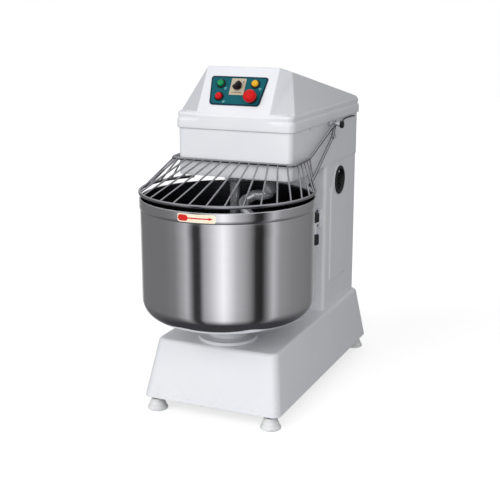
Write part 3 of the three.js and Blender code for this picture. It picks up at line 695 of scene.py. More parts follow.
def base_shell():
    """Rings up the inside, round the bottom edge, up the leaning outside, over the folded top
    edge and in across the top: every ring is the leaning outline at its own height and inset."""
    size = bpy.context.scene.mixer_bodywork
    low, high = BASE_LOW[2], BASE_HIGH[2]
    sheet = size.sheet
    far_in = 150 * MM
    stations = [(high - sheet, far_in), (high - sheet, 4 * sheet), (high - 2 * sheet, sheet),
                (low + 0.5 * sheet, sheet), (low, 0.7 * sheet), (low, 0.3 * sheet), (low + 1 * MM, 0)]
    stations += [(h, 0) for h in np.linspace(low + 6 * MM, high - size.fold, 14)]
    fold = np.radians(np.linspace(10, 90, 8))
    stations += [(high - size.fold * (1 - math.sin(a)), size.fold * (1 - math.cos(a))) for a in fold]
    stations += [(high, inset) for inset in (9 * MM, 16 * MM, 40 * MM, far_in)]
    rings = [at_height(lean_outline((h - low) / (high - low), inset), h) for h, inset in stations]
    return skins("base_shell", [np.array(rings)])


def foot(name, centre):
    """A turned foot: a flared pad, two shallow ridges and a collar."""
    profile = [(0, 0), (27, 0), (29, 1.5), (29, 6), (27.5, 8.5), (24.5, 11), (23.4, 15), (24, 16.5),
               (22.6, 18), (21, 22), (19.6, 25), (20.2, 26.5), (18.6, 28), (17.6, FOOT_TOP - 2),
               (15.5, FOOT_TOP), (0, FOOT_TOP)]
    rings = turned(in_mm(profile), (centre[0], centre[1], 0), count=48)
    return skins(name, [rings], sharp=50)


def stops(*spans):
    """Joined stations: each span is (start, end, step)."""
    return np.unique(np.round(np.concatenate(
        [np.linspace(a, b, max(2, int(round((b - a) / step)) + 1)) for a, b, step in spans]), 6))


def smooth_step(value, start, end):
    """From 0 at start to 1 at end, as t squared times 3 - 2t."""
    t = np.clip((value - start) / (end - start), 0, 1)
    return t * t * (3 - 2 * t)


def column_shell():
    """A rounded tube whose sides carry a pressed panel. A side point moves out by 3 mm times a
    smooth step of its distance inside the panel's rounded outline, and in round the vent hole."""
    size = bpy.context.scene.mixer_bodywork
    rise = 3 * MM
    half = COLUMN_HIGH[0] - rise
    front, rear = COLUMN_LOW[1], COLUMN_HIGH[1]
    corner = size.column_corner
    vent = middle("vent_cap_right")
    edge_run = stops((front + corner, rear - corner, 2 * MM))
    cross = np.linspace(-half + corner, half - corner, 9)
    quarter = np.radians(np.linspace(0, 90, 7))[1:-1]

    def bend(x, y, start):
        return [(x + corner * math.cos(a + start), y + corner * math.sin(a + start)) for a in quarter]

    outline = [(half, y) for y in edge_run] + bend(half - corner, rear - corner, 0)
    outline += [(x, rear) for x in cross[::-1]] + bend(-half + corner, rear - corner, math.pi / 2)
    outline += [(-half, y) for y in edge_run[::-1]] + bend(-half + corner, front + corner, math.pi)
    outline += [(x, front) for x in cross] + bend(half - corner, front + corner, 1.5 * math.pi)
    outline = np.array(outline)
    heights = stops((COLUMN_LOW[2], COLUMN_HIGH[2], 2.2 * MM))
    outer = np.stack([at_height(outline, h) for h in heights])
    pad_low, pad_high, pad_round = 286 * MM, 588 * MM, 16 * MM
    pad_half, pad_middle = 84 * MM, BOWL_CENTRE[1] + 459 * MM
    y, z = outer[..., 1], outer[..., 2]
    dy = np.abs(y - pad_middle) - (pad_half - pad_round)
    dz = np.abs(z - (pad_low + pad_high) / 2) - ((pad_high - pad_low) / 2 - pad_round)
    outside = np.hypot(np.maximum(dy, 0), np.maximum(dz, 0)) + np.minimum(np.maximum(dy, dz), 0)
    inside_by = pad_round - outside
    side = np.abs(np.abs(outer[..., 0]) - half) < 1e-6
    lift = rise * smooth_step(inside_by, -0.5 * MM, 5 * MM)
    ring = np.hypot(y - vent[1], z - vent[2])
    flat_out, flat_in = 52 * MM, 45 * MM
    around = np.maximum(lift, rise * smooth_step(-ring, -flat_out, -flat_in))
    lift = np.where(ring < flat_out, around, lift)
    hole_out, hole_in, hole_depth = 41 * MM, 37.5 * MM, 22 * MM
    lift = lift - hole_depth * smooth_step(-ring, -hole_out, -hole_in)
    outer[..., 0] += np.where(side, np.sign(outer[..., 0]) * lift, 0)
    middle_line = np.array([0, (front + rear) / 2])
    reach = np.array([half, (rear - front) / 2])
    wall = 2.5 * MM
    inner = outer.copy()
    inner[..., :2] = middle_line + (outer[..., :2] - middle_line) * (1 - wall / reach)
    rings = np.concatenate([outer, inner[::-1]])
    return skins("column_shell", [rings], closed=True, sharp=45)


def screw_head(centre, normal, radius, height):
    """A domed screw head with a dimple in its middle."""
    dome = [(0, height * 0.55), (radius * 0.22, height * 0.6), (radius * 0.3, height),
            (radius * 0.75, height * 0.8), (radius, height * 0.25), (radius, 0), (0, 0)]
    return turned(dome, centre, axes_from(normal), 20)


def back_panel():
    """A flat removable panel with a folded edge."""
    low, high = corners("column_back_panel")
    turn = axes_from((0, 1, 0))
    centre = (low + high) / 2
    half = (high - low) / 2
    outline = rounded(-half[0], half[0], -half[2], half[2], 5 * MM, 5)
    return skins("back_panel", [prism(outline, -half[1], half[1] * 0.5, 0.6 * MM, turn, centre)])


def head_shell():
    """A rounded tube with its lower edge turned in."""
    size = bpy.context.scene.mixer_bodywork

    def outline(inset):
        return rounded(HEAD_LOW[0] + inset, HEAD_HIGH[0] - inset, HEAD_LOW[1] + inset,
                       HEAD_HIGH[1] - inset, max(size.head_corner - inset, 1 * MM), 14)

    low, high = HEAD_LOW[2], HEAD_HIGH[2]
    sheet = size.sheet
    stations = [(high, sheet * 0.8), (low + sheet, sheet), (low + 0.2 * MM, sheet), (low, 0.6 * sheet)]
    stations += [(low + 0.6 * MM, 0.5 * MM), (low + 1.8 * MM, 0)]
    stations += [(h, 0) for h in np.linspace(low + 12 * MM, high, 8)]
    rings = [at_height(outline(inset), h) for h, inset in stations]
    return skins("head_shell", [np.array(rings)], closed=True)


def cover_skirt():
    """The cover's lip: a rounded outline carried up a profile with a rolled lower edge, an
    upright band, a groove and a rounded shoulder. The groove fades out across the front, where
    each ring is blended with a plainer one by a smooth step of its distance from the middle."""
    size = bpy.context.scene.mixer_bodywork

    def outline(extra):
        made = rounded(HEAD_LOW[0] - extra, HEAD_HIGH[0] + extra, HEAD_LOW[1] - extra,
                       HEAD_HIGH[1] + extra, size.head_corner + extra, 14)
        front = 3 * len(made) // 4
        run = np.linspace(made[front - 1], made[front], 40)[1:-1]
        return np.vstack([made[:front], run, made[front:]])

    low, lip = COVER_LOW[2], (HEAD_LOW[1] - COVER_LOW[1]) / MM
    profile = [(0.8, 6), (0.6, 1.5), (1.5, 0.2), (lip - 1.5, 0), (lip - 0.4, 0.6), (lip, 2),
               (lip, 10), (lip, 18), (lip - 0.2, 21.5), (lip - 0.8, 24), (lip - 2.2, 25.8),
               (lip - 3.8, 26.8), (lip - 4.4, 28.5), (lip - 4.2, 31), (lip - 3.0, 34.2),
               (lip - 2.4, 37.5), (lip - 2.8, 41), (lip - 4.4, 43.6), (lip - 6.8, 45.2),
               (lip - 9.6, 45.6), (-12, 45.6), (-60, 45.6)]
    rings = []
    for extra, up in [(-60, 6)] + profile:
        ring = outline(extra * MM)
        if up > 18:
            plain = outline(max(extra, min(lip, lip - 0.6 * (up - 38)) if up < 45.5 else extra) * MM)
            fade = 1 - smooth_step(np.abs(ring[:, 0]), 100 * MM, 128 * MM)
            on_front = ring[:, 1] < HEAD_LOW[1] + 30 * MM
            fade = (fade * on_front)[:, None]
            ring = ring * (1 - fade) + plain * fade
        rings.append(at_height(ring, low + up * MM))
    return skins("cover_skirt", [np.array(rings)], sharp=60)


def cover_hood():
    """The faceted hood: a six-cornered foot and a six-cornered falling roof, joined by the sloped
    control face, two corner facets and the sides, with all edges softened."""
    size = bpy.context.scene.mixer_bodywork
    back = BOWL_CENTRE[1]
    high = COVER_HIGH[2]
    foot_at = COVER_LOW[2] + 45 * MM
    front_half, side, peak_half = 108.6 * MM, HEAD_HIGH[0], 120.7 * MM
    foot_front, foot_side, foot_rear = back + 34 * MM, back + 62 * MM, back + 612 * MM
    roof_back, roof_side, roof_rear = back + 108 * MM, back + 172 * MM, back + 600 * MM
    foot6 = [(-front_half, foot_front), (front_half, foot_front), (side, foot_side),
             (side, foot_rear), (-side, foot_rear), (-side, foot_side)]
    rear_half = side - 3 * MM
    top6 = [(-front_half, roof_back), (front_half, roof_back), (peak_half, roof_side),
            (rear_half, roof_rear), (-rear_half, roof_rear), (-peak_half, roof_side)]
    fall = 115 * MM / (roof_rear - roof_back)
    foot_ring = at_height(np.array(foot6), foot_at - 4 * MM)
    edge_ring = at_height(np.array(foot6), foot_at + 0.6 * MM)
    roof = np.array([(x, y, high - fall * (y - roof_back)) for x, y in top6])
    hood = skins("cover_hood", [np.array([foot_ring, edge_ring, roof])], sharp=None)
    return soften(hood, size.hood_edge, 5, 8)


def node_points(node):
    """Every vertex of a carried-over node."""
    vertices = frame["nodes"][node].data.vertices
    points = np.empty(len(vertices) * 3)
    vertices.foreach_get("co", points)
    return points.reshape(-1, 3)


def panel_place():
    """Origin and axes of the control face: local X to the right, Y up the slope, Z out of it. The
    origin is on the sheet under the middle of the plate's lower edge."""
    across = np.array((1.0, 0, 0))
    turn = np.array([across, np.cross(PANEL_NORMAL, across), PANEL_NORMAL])
    local = node_points("control_plate") @ turn.T
    low, high = local.min(0), local.max(0)
    return np.array([(low[0] + high[0]) / 2, low[1], low[2] - 0.3 * MM]) @ turn, turn


def plate_outline(inset):
    """The plate's outline: a trapezoid, wider at the top, with each corner a quadratic curve,
    drawn in by inset."""
    size = bpy.context.scene.mixer_panel
    low, high = corners("control_plate")
    wide = (high[0] - low[0]) / 2 - inset
    narrow = wide - size.taper
    across = PANEL_NORMAL[1:] @ (0, 1)
    tall = (high[2] - low[2] - 2 * MM * across) / -PANEL_NORMAL[1] - inset
    radius = size.corner - inset * 0.5
    spots = [np.array(p) for p in ((wide, tall), (-wide, tall), (-narrow, inset), (narrow, inset))]
    points = []
    for i, corner in enumerate(spots):
        points += corner_curve(spots[i - 1], corner, spots[(i + 1) % 4], radius, 6)
    return np.array(points)


def local_centre(node, origin, turn):
    """Middle of a node in the panel's own axes."""
    return (middle(node) - origin) @ turn.T


def bowl_profile():
    """From the middle of the floor outside, up the fillet and wall, over the band and rolled rim,
    and back down inside: straight runs joined by quarter and half circles."""
    size = bpy.context.scene.mixer_bowl
    radius = BOWL_HIGH[0] - size.band
    low, rim = BOWL_LOW[2], BOWL_HIGH[2]
    turn_in = (radius - size.fillet, low + size.fillet)
    outside = [(0, low), (0.06, low), (0.12, low)] + arc(turn_in, size.fillet, -90, 0, 20)
    foot_of_band = rim - size.band_height
    outside += [(radius, h) for h in np.linspace(low + size.fillet + 0.03, foot_of_band - 1 * MM, 6)]
    proud = radius + size.band
    outside += [(radius - 0.4 * MM, foot_of_band - 0.3 * MM), (radius + 0.6 * MM, foot_of_band),
                (proud - 0.5 * MM, foot_of_band + 0.1 * MM), (proud, foot_of_band + 0.8 * MM),
                (proud, foot_of_band + 10 * MM), (proud, rim - 8 * MM)]
    roll = 2.4 * MM
    outside += arc((proud - roll, rim - roll), roll, 0, 180, 10)
    inner = size.fillet - size.wall
    inside = [(radius - size.wall, rim - 6 * MM), (radius - size.wall, low + size.fillet + 0.1)]
    inside += arc(turn_in, inner, 0, -90, 16)
    inside += [(0.1, low + size.wall), (0, low + size.wall)]
    return outside, inside


def label_patch(name, start, end, low, high, radius, thick):
    """A thin patch on the band between two angles, its ends rounded: the outline is a rounded
    rectangle in arc length and height, wrapped round the bowl's axis."""
    width = (end - start) * radius
    rounding = (high - low) * 0.3
    flat = rounded(0, width, low, high, rounding, 8)
    cuts = np.linspace(rounding, width - rounding, 14)[1:-1]
    top = [(c, high) for c in cuts[::-1]]
    bottom = [(c, low) for c in cuts]
    outline = np.vstack([flat[:9], top, flat[9:27], bottom, flat[27:]])
    return wrap(name, outline, start, radius, thick)


def wrap(name, outline, start, radius, thick):
    """Bends a flat outline round the bowl: angle = start + x / radius, height = y. The middle is
    filled by strips between the outline and its mirror image about its middle height."""
    middle_height = (outline[:, 1].max() + outline[:, 1].min()) / 2
    core = at_height(outline[:, :1], middle_height)

    def bend(points, r):
        angle = start + points[:, 0] / radius
        return np.column_stack([BOWL_CENTRE[0] + r * np.cos(angle),
                                BOWL_CENTRE[1] + r * np.sin(angle), points[:, 1]])

    rings = np.array([bend(core, radius), bend(outline, radius), bend(outline, radius + thick),
                      bend(core, radius + thick)])
    count = len(outline)
    faces = []
    for row in range(3):
        faces += [[row * count + i, row * count + (i + 1) % count,
                   (row + 1) * count + (i + 1) % count, (row + 1) * count + i] for i in range(count)]
    return mesh_object(name, rings.reshape(-1, 3), faces, 40)


def hook_path():
    """Down the spindle, out along the arm and round a falling helix: at share t of its length its
    angle is pi (1 + 2 turns t) and its height falls evenly. It draws in a little at both ends."""
    size = bpy.context.scene.mixer_bowl
    centre = joint_at("spiral_spin")
    arm, bottom = 600 * MM, 318 * MM
    below_arm = arm - 8 * MM
    x, y = centre[:2]
    lead = [(x, y, arm + 52 * MM), (x, y, arm + 40 * MM), (x, y, arm + 22 * MM),
            (x - 6 * MM, y, arm + 10 * MM), (x - 22 * MM, y, arm + 3 * MM), (x - 50 * MM, y, arm)]
    t = np.linspace(0, 1, 90)
    angle = math.pi + 2 * math.pi * size.hook_turns * t
    tip = 0.15
    reach = size.hook_reach - 14 * MM * np.maximum(0, t - (1 - tip)) / tip
    reach = reach - 4 * MM * smooth_step(-t, -0.05, 0)
    height = below_arm - (below_arm - bottom) * t
    helix = np.column_stack([x + reach * np.cos(angle), y + reach * np.sin(angle), height])
    return np.vstack([spline(lead, 5), helix[2:]])


def wire_between(start, end, radius, sides=10):
    """A straight wire, split in five so that it shades evenly."""
    t = np.linspace(0, 1, 6)[:, None]
    return swept(np.asarray(start) * (1 - t) + np.asarray(end) * t, radius, sides)


def ring_point(degrees):
    """A point on the guard's lower ring, counted anticlockwise from the right."""
    size = bpy.context.scene.mixer_guard
    reach = GUARD_HIGH[0] - size.rod - 0.1 * MM
    a = np.radians(degrees)
    return np.stack([BOWL_CENTRE[0] + reach * np.cos(a), BOWL_CENTRE[1] + reach * np.sin(a),
                     np.zeros_like(a) + GUARD_LOW[2] + size.rod], axis=-1)


def guard_pieces():
    """The ring, the bent frame, the wires and the hinge lugs with their bolts, as stacks."""
    size = bpy.context.scene.mixer_guard
    back = BOWL_CENTRE[1]
    pivot = joint_at("guard_lift")
    end = math.degrees(size.ring_end)
    front, level = back + 24 * MM, 705 * MM
    side, arm = 187 * MM, 190 * MM
    ring = swept(ring_point(np.linspace(180 - end, 360 + end, 120)), size.rod, 12, True)
    half_rod = [(arm, pivot[1] - 2 * MM, pivot[2] - 1 * MM), (side, back + 136 * MM, 709 * MM),
                (side, front, level)]
    other_half = [(-x, y, z) for x, y, z in half_rod[::-1]]
    rear_bend, front_bend = 28 * MM, 24 * MM
    bends = (rear_bend, front_bend, front_bend, rear_bend)
    frame_rod = swept(bent(half_rod + other_half, bends), size.rod, 12, True)
    wires = []
    half = size.front_wires // 2
    fan = 410  # Degrees round the ring for each metre along the front bar.
    for i in range(-half, half + 1):
        x = i * size.front_pitch
        wires.append(wire_between((x, front, level), ring_point(-90 + fan * x), size.wire))
    for i in range(size.side_wires):
        height = level + 1 * MM + i * 0.7 * MM
        degrees = -11 + 11 * i
        y = back + 50 * MM + i * size.side_pitch
        wires.append(wire_between((side, y, height), ring_point(degrees), size.wire))
        wires.append(wire_between((-side, y, height), ring_point(180 - degrees), size.wire))
    lugs = []
    bolts = []
    turn = axes_from((1, 0, 0))
    eye = [(6.2, -2.5), (10.6, -2.5), (11, -2.1), (11, 2.1), (10.6, 2.5), (6.2, 2.5), (6.2, -2.5)]
    bolt = [(0, -9), (4.6, -9), (5.4, -8.4), (5.4, -5), (3.4, -5), (3.4, 4.6), (5.8, 4.6),
            (5.8, 8.6), (4.8, 9), (0, 9)]
    for _, sign in SIDES:
        top = np.array((sign * arm, pivot[1], pivot[2]))
        low = top + np.array((0, -13 * MM, -34 * MM))
        lugs.append(turned(in_mm(eye), top, turn, 36))
        away = unit(low - top)
        lugs.append(swept([top + away * 9 * MM, low + away * 5 * MM], 5.2 * MM, 12, True))
        ring_end = ring_point(end if sign > 0 else 180 - end)
        lugs.append(swept([ring_end, ring_end * 0.5 + low * 0.5, low], size.rod, 12, True))
        bolts.append(turned(in_mm(bolt), low, turn, 24))
    return ring, frame_rod, wires, lugs, bolts


# Operators.


class MixerStep:
    """What every step shares: it runs its build() and raises if that made no piece."""

    bl_options = {"REGISTER", "UNDO"}
    only_finishes = False

    def execute(self, context):
        before = len(bpy.data.objects)
        self.build(context)
        if len(bpy.data.objects) <= before and not self.only_finishes:
            raise RuntimeError(self.bl_label + " made nothing")
        return {"FINISHED"}


class MIXER_OT_studio(MixerStep, bpy.types.Operator):
    """Camera, floor, lights and the surroundings that the steel mirrors"""

    bl_idname = "mixer.studio"
    bl_label = "Studio"

    def build(self, context):
        scene = context.scene
        size = scene.mixer_studio
        camera = bpy.data.objects.new("camera", bpy.data.cameras.new("camera"))
        scene.collection.objects.link(camera)
        look = Vector((-math.sin(size.bearing) * math.cos(size.drop),
                       math.cos(size.bearing) * math.cos(size.drop), -math.sin(size.drop)))
        camera.location = size.camera
        camera.rotation_mode = "QUATERNION"
        camera.rotation_quaternion = look.to_track_quat("-Z", "Y")
        camera.data.lens = size.lens
        camera.data.sensor_width = 36
        scene.camera = camera
        scene.view_settings.view_transform = "Standard"
        self.floor(scene)
        self.lights(scene, size)
        self.surroundings(scene, size)

    def floor(self, scene):
        """A pale floor. Steel and paint take their light from the surroundings, not from it."""
        reach = 9.0
        points = [(-reach, -reach, 0), (reach, -reach, 0), (reach, reach, 0), (-reach, reach, 0)]
        mesh = bpy.data.meshes.new("studio_floor")
        mesh.from_pydata(points, [], [(0, 1, 2, 3)])
        floor = bpy.data.objects.new("studio_floor", mesh)
        scene.collection.objects.link(floor)
        floor.visible_diffuse = False
        floor.visible_glossy = False
        made = Finish("studio_paper", "c8c8c8", 0.95)
        made.shader.inputs["Emission Color"].default_value = (1, 1, 1, 1)
        made.shader.inputs["Emission Strength"].default_value = 0.7
        made.shader.inputs["Specular IOR Level"].default_value = 0.0
        floor.data.materials.append(made.material)

    def lights(self, scene, size):
        """A broad key from the front left, and a soft box nearer by on the front right, whose
        light falls off towards the back."""
        sun = self.light(scene, "key", "SUN", -30, 24)
        sun.energy = size.key
        sun.angle = math.radians(50)
        box = self.light(scene, "soft_box", "AREA", 34, 20)
        box.energy = size.fill
        box.size = 1.3

    def light(self, scene, name, kind, azimuth, elevation):
        """A light 2 m from the bowl that shines at it. Azimuth is in degrees from the front
        towards the right. It is neither seen nor mirrored."""
        a, e = math.radians(azimuth), math.radians(elevation)
        towards = Vector((math.sin(a) * math.cos(e), -math.cos(a) * math.cos(e), math.sin(e)))
        made = bpy.data.objects.new(name, bpy.data.lights.new(name, kind))
        made.rotation_mode = "QUATERNION"
        made.rotation_quaternion = towards.to_track_quat("Z", "Y")
        made.location = Vector((0, BOWL_CENTRE[1], 0.5)) + towards * 2.0
        made.visible_glossy = False
        made.visible_camera = False
        scene.collection.objects.link(made)
        return made.data

    # Soft boxes and black flags round the machine: azimuth in degrees from the front towards the
    # right, and how bright a polished bowl looks where it mirrors them, as an sRGB share.
    PANELS = ((-180, 0.52), (-138, 0.68), (-128, 0.42), (-65, 0.43), (-48, 0.47), (-38, 0.60),
              (-30, 0.70), (-25, 0.52), (-20, 0.20), (-12, 0.17), (-7, 0.60), (2, 0.73),
              (11, 0.87), (19, 0.97), (27, 0.86), (36, 0.70), (47, 0.60), (55, 0.46),
              (61, 0.17), (70, 0.13), (77, 0.46), (86, 0.71), (97, 0.55), (119, 0.49),
              (168, 0.42), (180, 0.52))

    def surroundings(self, scene, size):
        """Even light for paint, white behind everything, and the panels for what is mirrored."""
        world = bpy.data.worlds.new("studio")
        scene.world = world
        world.use_nodes = True
        tree = world.node_tree
        tree.nodes.clear()
        steel = 0.69  # How much light polished steel reflects.
        headroom = 0.7  # Keeps the ramp's colours below 1. The background's strength undoes it.
        direction = add(tree, "ShaderNodeTexCoord").outputs["Generated"]
        split = add(tree, "ShaderNodeSeparateXYZ", {"Vector": direction})
        towards_front = add(tree, "ShaderNodeMath", {0: split.outputs["Y"], 1: -1.0},
                            operation="MULTIPLY")
        angle = add(tree, "ShaderNodeMath", {0: split.outputs["X"], 1: towards_front.outputs[0]},
                    operation="ARCTAN2")
        share = add(tree, "ShaderNodeMapRange", {
            "Value": angle.outputs[0], "From Min": -math.pi, "From Max": math.pi})
        ramp = add(tree, "ShaderNodeValToRGB", {"Fac": share.outputs["Result"]})
        elements = ramp.color_ramp.elements
        while len(elements) < len(self.PANELS):
            elements.new(0.5)
        for element, (azimuth, grey) in zip(elements, self.PANELS):
            element.position = (azimuth + 180) / 360
            level = ((grey + 0.055) / 1.055) ** 2.4 / steel * headroom
            element.color = (level, level, level * 1.01, 1)
        above = add(tree, "ShaderNodeMapRange", {
            "Value": split.outputs["Z"], "From Min": 0.2, "From Max": 0.75})
        ceiling = add(tree, "ShaderNodeMix", data_type="RGBA")
        tree.links.new(above.outputs["Result"], ceiling.inputs[0])
        tree.links.new(ramp.outputs["Color"], ceiling.inputs[6])
        ceiling.inputs[7].default_value = (0.62, 0.62, 0.64, 1)
        below = add(tree, "ShaderNodeMapRange", {
            "Value": split.outputs["Z"], "From Min": -0.3, "From Max": -0.75})
        pit = add(tree, "ShaderNodeMix", data_type="RGBA")
        tree.links.new(below.outputs["Result"], pit.inputs[0])
        tree.links.new(ceiling.outputs[2], pit.inputs[6])
        pit.inputs[7].default_value = (0.04, 0.04, 0.045, 1)
        mirrored = add(tree, "ShaderNodeBackground", {"Color": pit.outputs[2],
                                                      "Strength": 1 / headroom})
        even = add(tree, "ShaderNodeBackground", {"Color": (0.985, 0.99, 1, 1),
                                                  "Strength": size.ambient})
        white = add(tree, "ShaderNodeBackground", {"Color": (1, 1, 1, 1), "Strength": 1.0})
        path = add(tree, "ShaderNodeLightPath")
        lit = add(tree, "ShaderNodeMixShader", {
            0: path.outputs["Is Glossy Ray"], 1: even.outputs[0], 2: mirrored.outputs[0]})
        seen = add(tree, "ShaderNodeMixShader", {
            0: path.outputs["Is Camera Ray"], 1: lit.outputs[0], 2: white.outputs[0]})
        add(tree, "ShaderNodeOutputWorld", {"Surface": seen.outputs[0]})


class MIXER_OT_base(MixerStep, bpy.types.Operator):
    """Base shell with its folded top edge, and the hub under the bowl"""

    bl_idname = "mixer.base"
    bl_label = "Base"

    def build(self, context):
        fit(base_shell(), powder_coat, "stand", "white_paint", "base_casing")
        low, high = (corner[2] / MM for corner in corners("bowl_bearing_housing"))
        top = BASE_HIGH[2] / MM
        bore = 26.5
        hub = [(bore, low), (48, low), (54, top - 60), (54, top + 0.3), (83, top + 0.3),
               (85, top + 2), (85, top + 8), (83.5, top + 10), (60, top + 12), (57, top + 14),
               (53, high - 3), (51, high), (bore, high), (bore, low)]
        rings = turned(in_mm(hub), (*BOWL_CENTRE, 0), count=80)
        piece = skins("bowl_hub", [rings], sharp=40)
        fit(piece, powder_coat, "stand", "cast_iron", "bowl_bearing_housing")


class MIXER_OT_feet(MixerStep, bpy.types.Operator):
    """Four white levelling feet with their studs and locknuts"""

    bl_idname = "mixer.feet"
    bl_label = "Feet"

    def build(self, context):
        for end in ("front", "rear"):
            for side, _ in SIDES:
                node = "foot_" + end + "_" + side
                centre = middle(node)
                fit(foot(node + "_pad", centre), moulded_nylon, "stand", "white_plastic", node)
                self.stud(node + "_stud", centre)

    def stud(self, name, centre):
        """Washer, six-sided locknut and a stud whose thread is a row of close rings."""
        hexagon = polygon(6, 13 * MM, 12) + centre[:2]
        threads = np.arange(FOOT_TOP + 0.4, 60, 0.9)
        stud = [(0, 33.2)] + [(8 - (i % 2) * 0.9, h) for i, h in enumerate(threads)] + [(0, 60.4)]
        washer = [(0, 33.1), (15.5, 33.1), (15.5, 34.6), (0, 34.6)]
        flat = (centre[0], centre[1], 0)
        parts = [turned(in_mm(stud), flat, count=24),
                 turned(in_mm(washer), flat, count=24)]
        made = skins(name, parts)
        nut = skins(name + "_nut", [prism(hexagon, 34.7 * MM, 41.2 * MM, 0.6 * MM)])
        fit(made, machined_steel, "stand", "steel")
        fit(nut, machined_steel, "stand", "steel")


class MIXER_OT_column(MixerStep, bpy.types.Operator):
    """Column shell with pressed side panels, back panel and its screws, and the cable gland"""

    bl_idname = "mixer.column"
    bl_label = "Column"

    def build(self, context):
        fit(column_shell(), powder_coat, "stand", "white_paint", "column_casing")
        fit(back_panel(), powder_coat, "stand", "white_paint", "column_back_panel")
        low, high = corners("column_back_panel")
        places = [(x, z) for x in (low[0] + 12 * MM, high[0] - 12 * MM)
                  for z in np.linspace(low[2] + 14 * MM, high[2] - 14 * MM, 4)]
        face = high[1] - 0.5 * MM
        heads = [screw_head((x, face, z), (0, 1, 0), 4.5 * MM, 2.2 * MM) for x, z in places]
        fit(skins("back_panel_screws", heads), zinc_plate, "stand", "steel")
        self.gland()

    def gland(self):
        """A flanged body and a domed nut with gripping flutes and an open bore."""
        low, high = corners("cable_gland")
        centre = (low + high) / 2
        turn = axes_from((0, 1, 0))
        origin = np.array([centre[0], low[1], centre[2]])
        nut = [(0, 0), (15, 0), (15, 1.5), (14.6, 8), (11.5, 8.6), (11.5, 16), (10.5, 18.6),
               (8.2, 21.6), (7, 22), (4.6, 21.4), (4.2, 12), (0, 12)]
        rings = fluted(turned(in_mm(nut), origin, turn, 48), origin, turn,
                       lambda radius: 0.03 * (radius > 10 * MM))
        fit(skins("power_gland", [rings]), black_abs, "stand", "black_plastic", "cable_gland")


class MIXER_OT_vents(MixerStep, bpy.types.Operator):
    """Moulded vent caps in the column's sides, with slats across the recess"""

    bl_idname = "mixer.vents"
    bl_label = "Vent Caps"

    def build(self, context):
        for name, sign in SIDES:
            node = "vent_cap_" + name
            low, high = corners(node)
            centre = (low + high) / 2
            outer = high[0] if sign > 0 else low[0]
            turn = axes_from((sign, 0, 0))
            origin = np.array([outer, centre[1], centre[2]])
            cup = [(0, -17), (39, -17), (39, -4), (43, -4), (44, -3.4), (44, -2), (43.4, -1.1),
                   (42, -0.4), (39, 0), (36.5, 0), (35, -0.6), (34, -2), (33, -12.5), (32, -13.5),
                   (0, -13.5)]
            parts = [turned(in_mm(cup), origin, turn, 80)]
            slat_half = 1.1 * MM
            for shift in np.arange(-3, 4) * 8.4 * MM:
                reach = math.sqrt((32.6 * MM) ** 2 - shift ** 2)
                low_corner = (-reach, shift - slat_half, -13.6 * MM)
                high_corner = (reach, shift + slat_half, -6.5 * MM)
                parts.append(box_rings(low_corner, high_corner, 0.6 * MM, turn, origin))
            fit(skins("vent_" + name, parts, sharp=40), black_abs, "stand", "black_plastic", node)
            boss = origin + turn[1] * 25.5 * MM - turn[2] * 6.6 * MM
            head = screw_head(boss, (sign, 0, 0), 3.6 * MM, 2.4 * MM)
            fit(skins("vent_screw_" + name, [head]), zinc_plate, "stand", "steel")


class MIXER_OT_head(MixerStep, bpy.types.Operator):
    """Head shell, and the cover with its lip, hood and fixing screws"""

    bl_idname = "mixer.head"
    bl_label = "Head"

    def build(self, context):
        fit(head_shell(), powder_coat, "stand", "white_paint", "head_casing")
        fit(cover_skirt(), powder_coat, "stand", "white_paint", "head_cover")
        fit(cover_hood(), powder_coat, "stand", "white_paint")
        heads = []
        height = COVER_LOW[2] - 5 * MM
        for _, sign in SIDES:
            for y in (-28 * MM, 330 * MM):
                spot = (sign * HEAD_HIGH[0], y, height)
                heads.append(screw_head(spot, (sign, 0, 0), 3.8 * MM, 3 * MM))
        fit(skins("cover_screws", heads), zinc_plate, "stand", "steel")


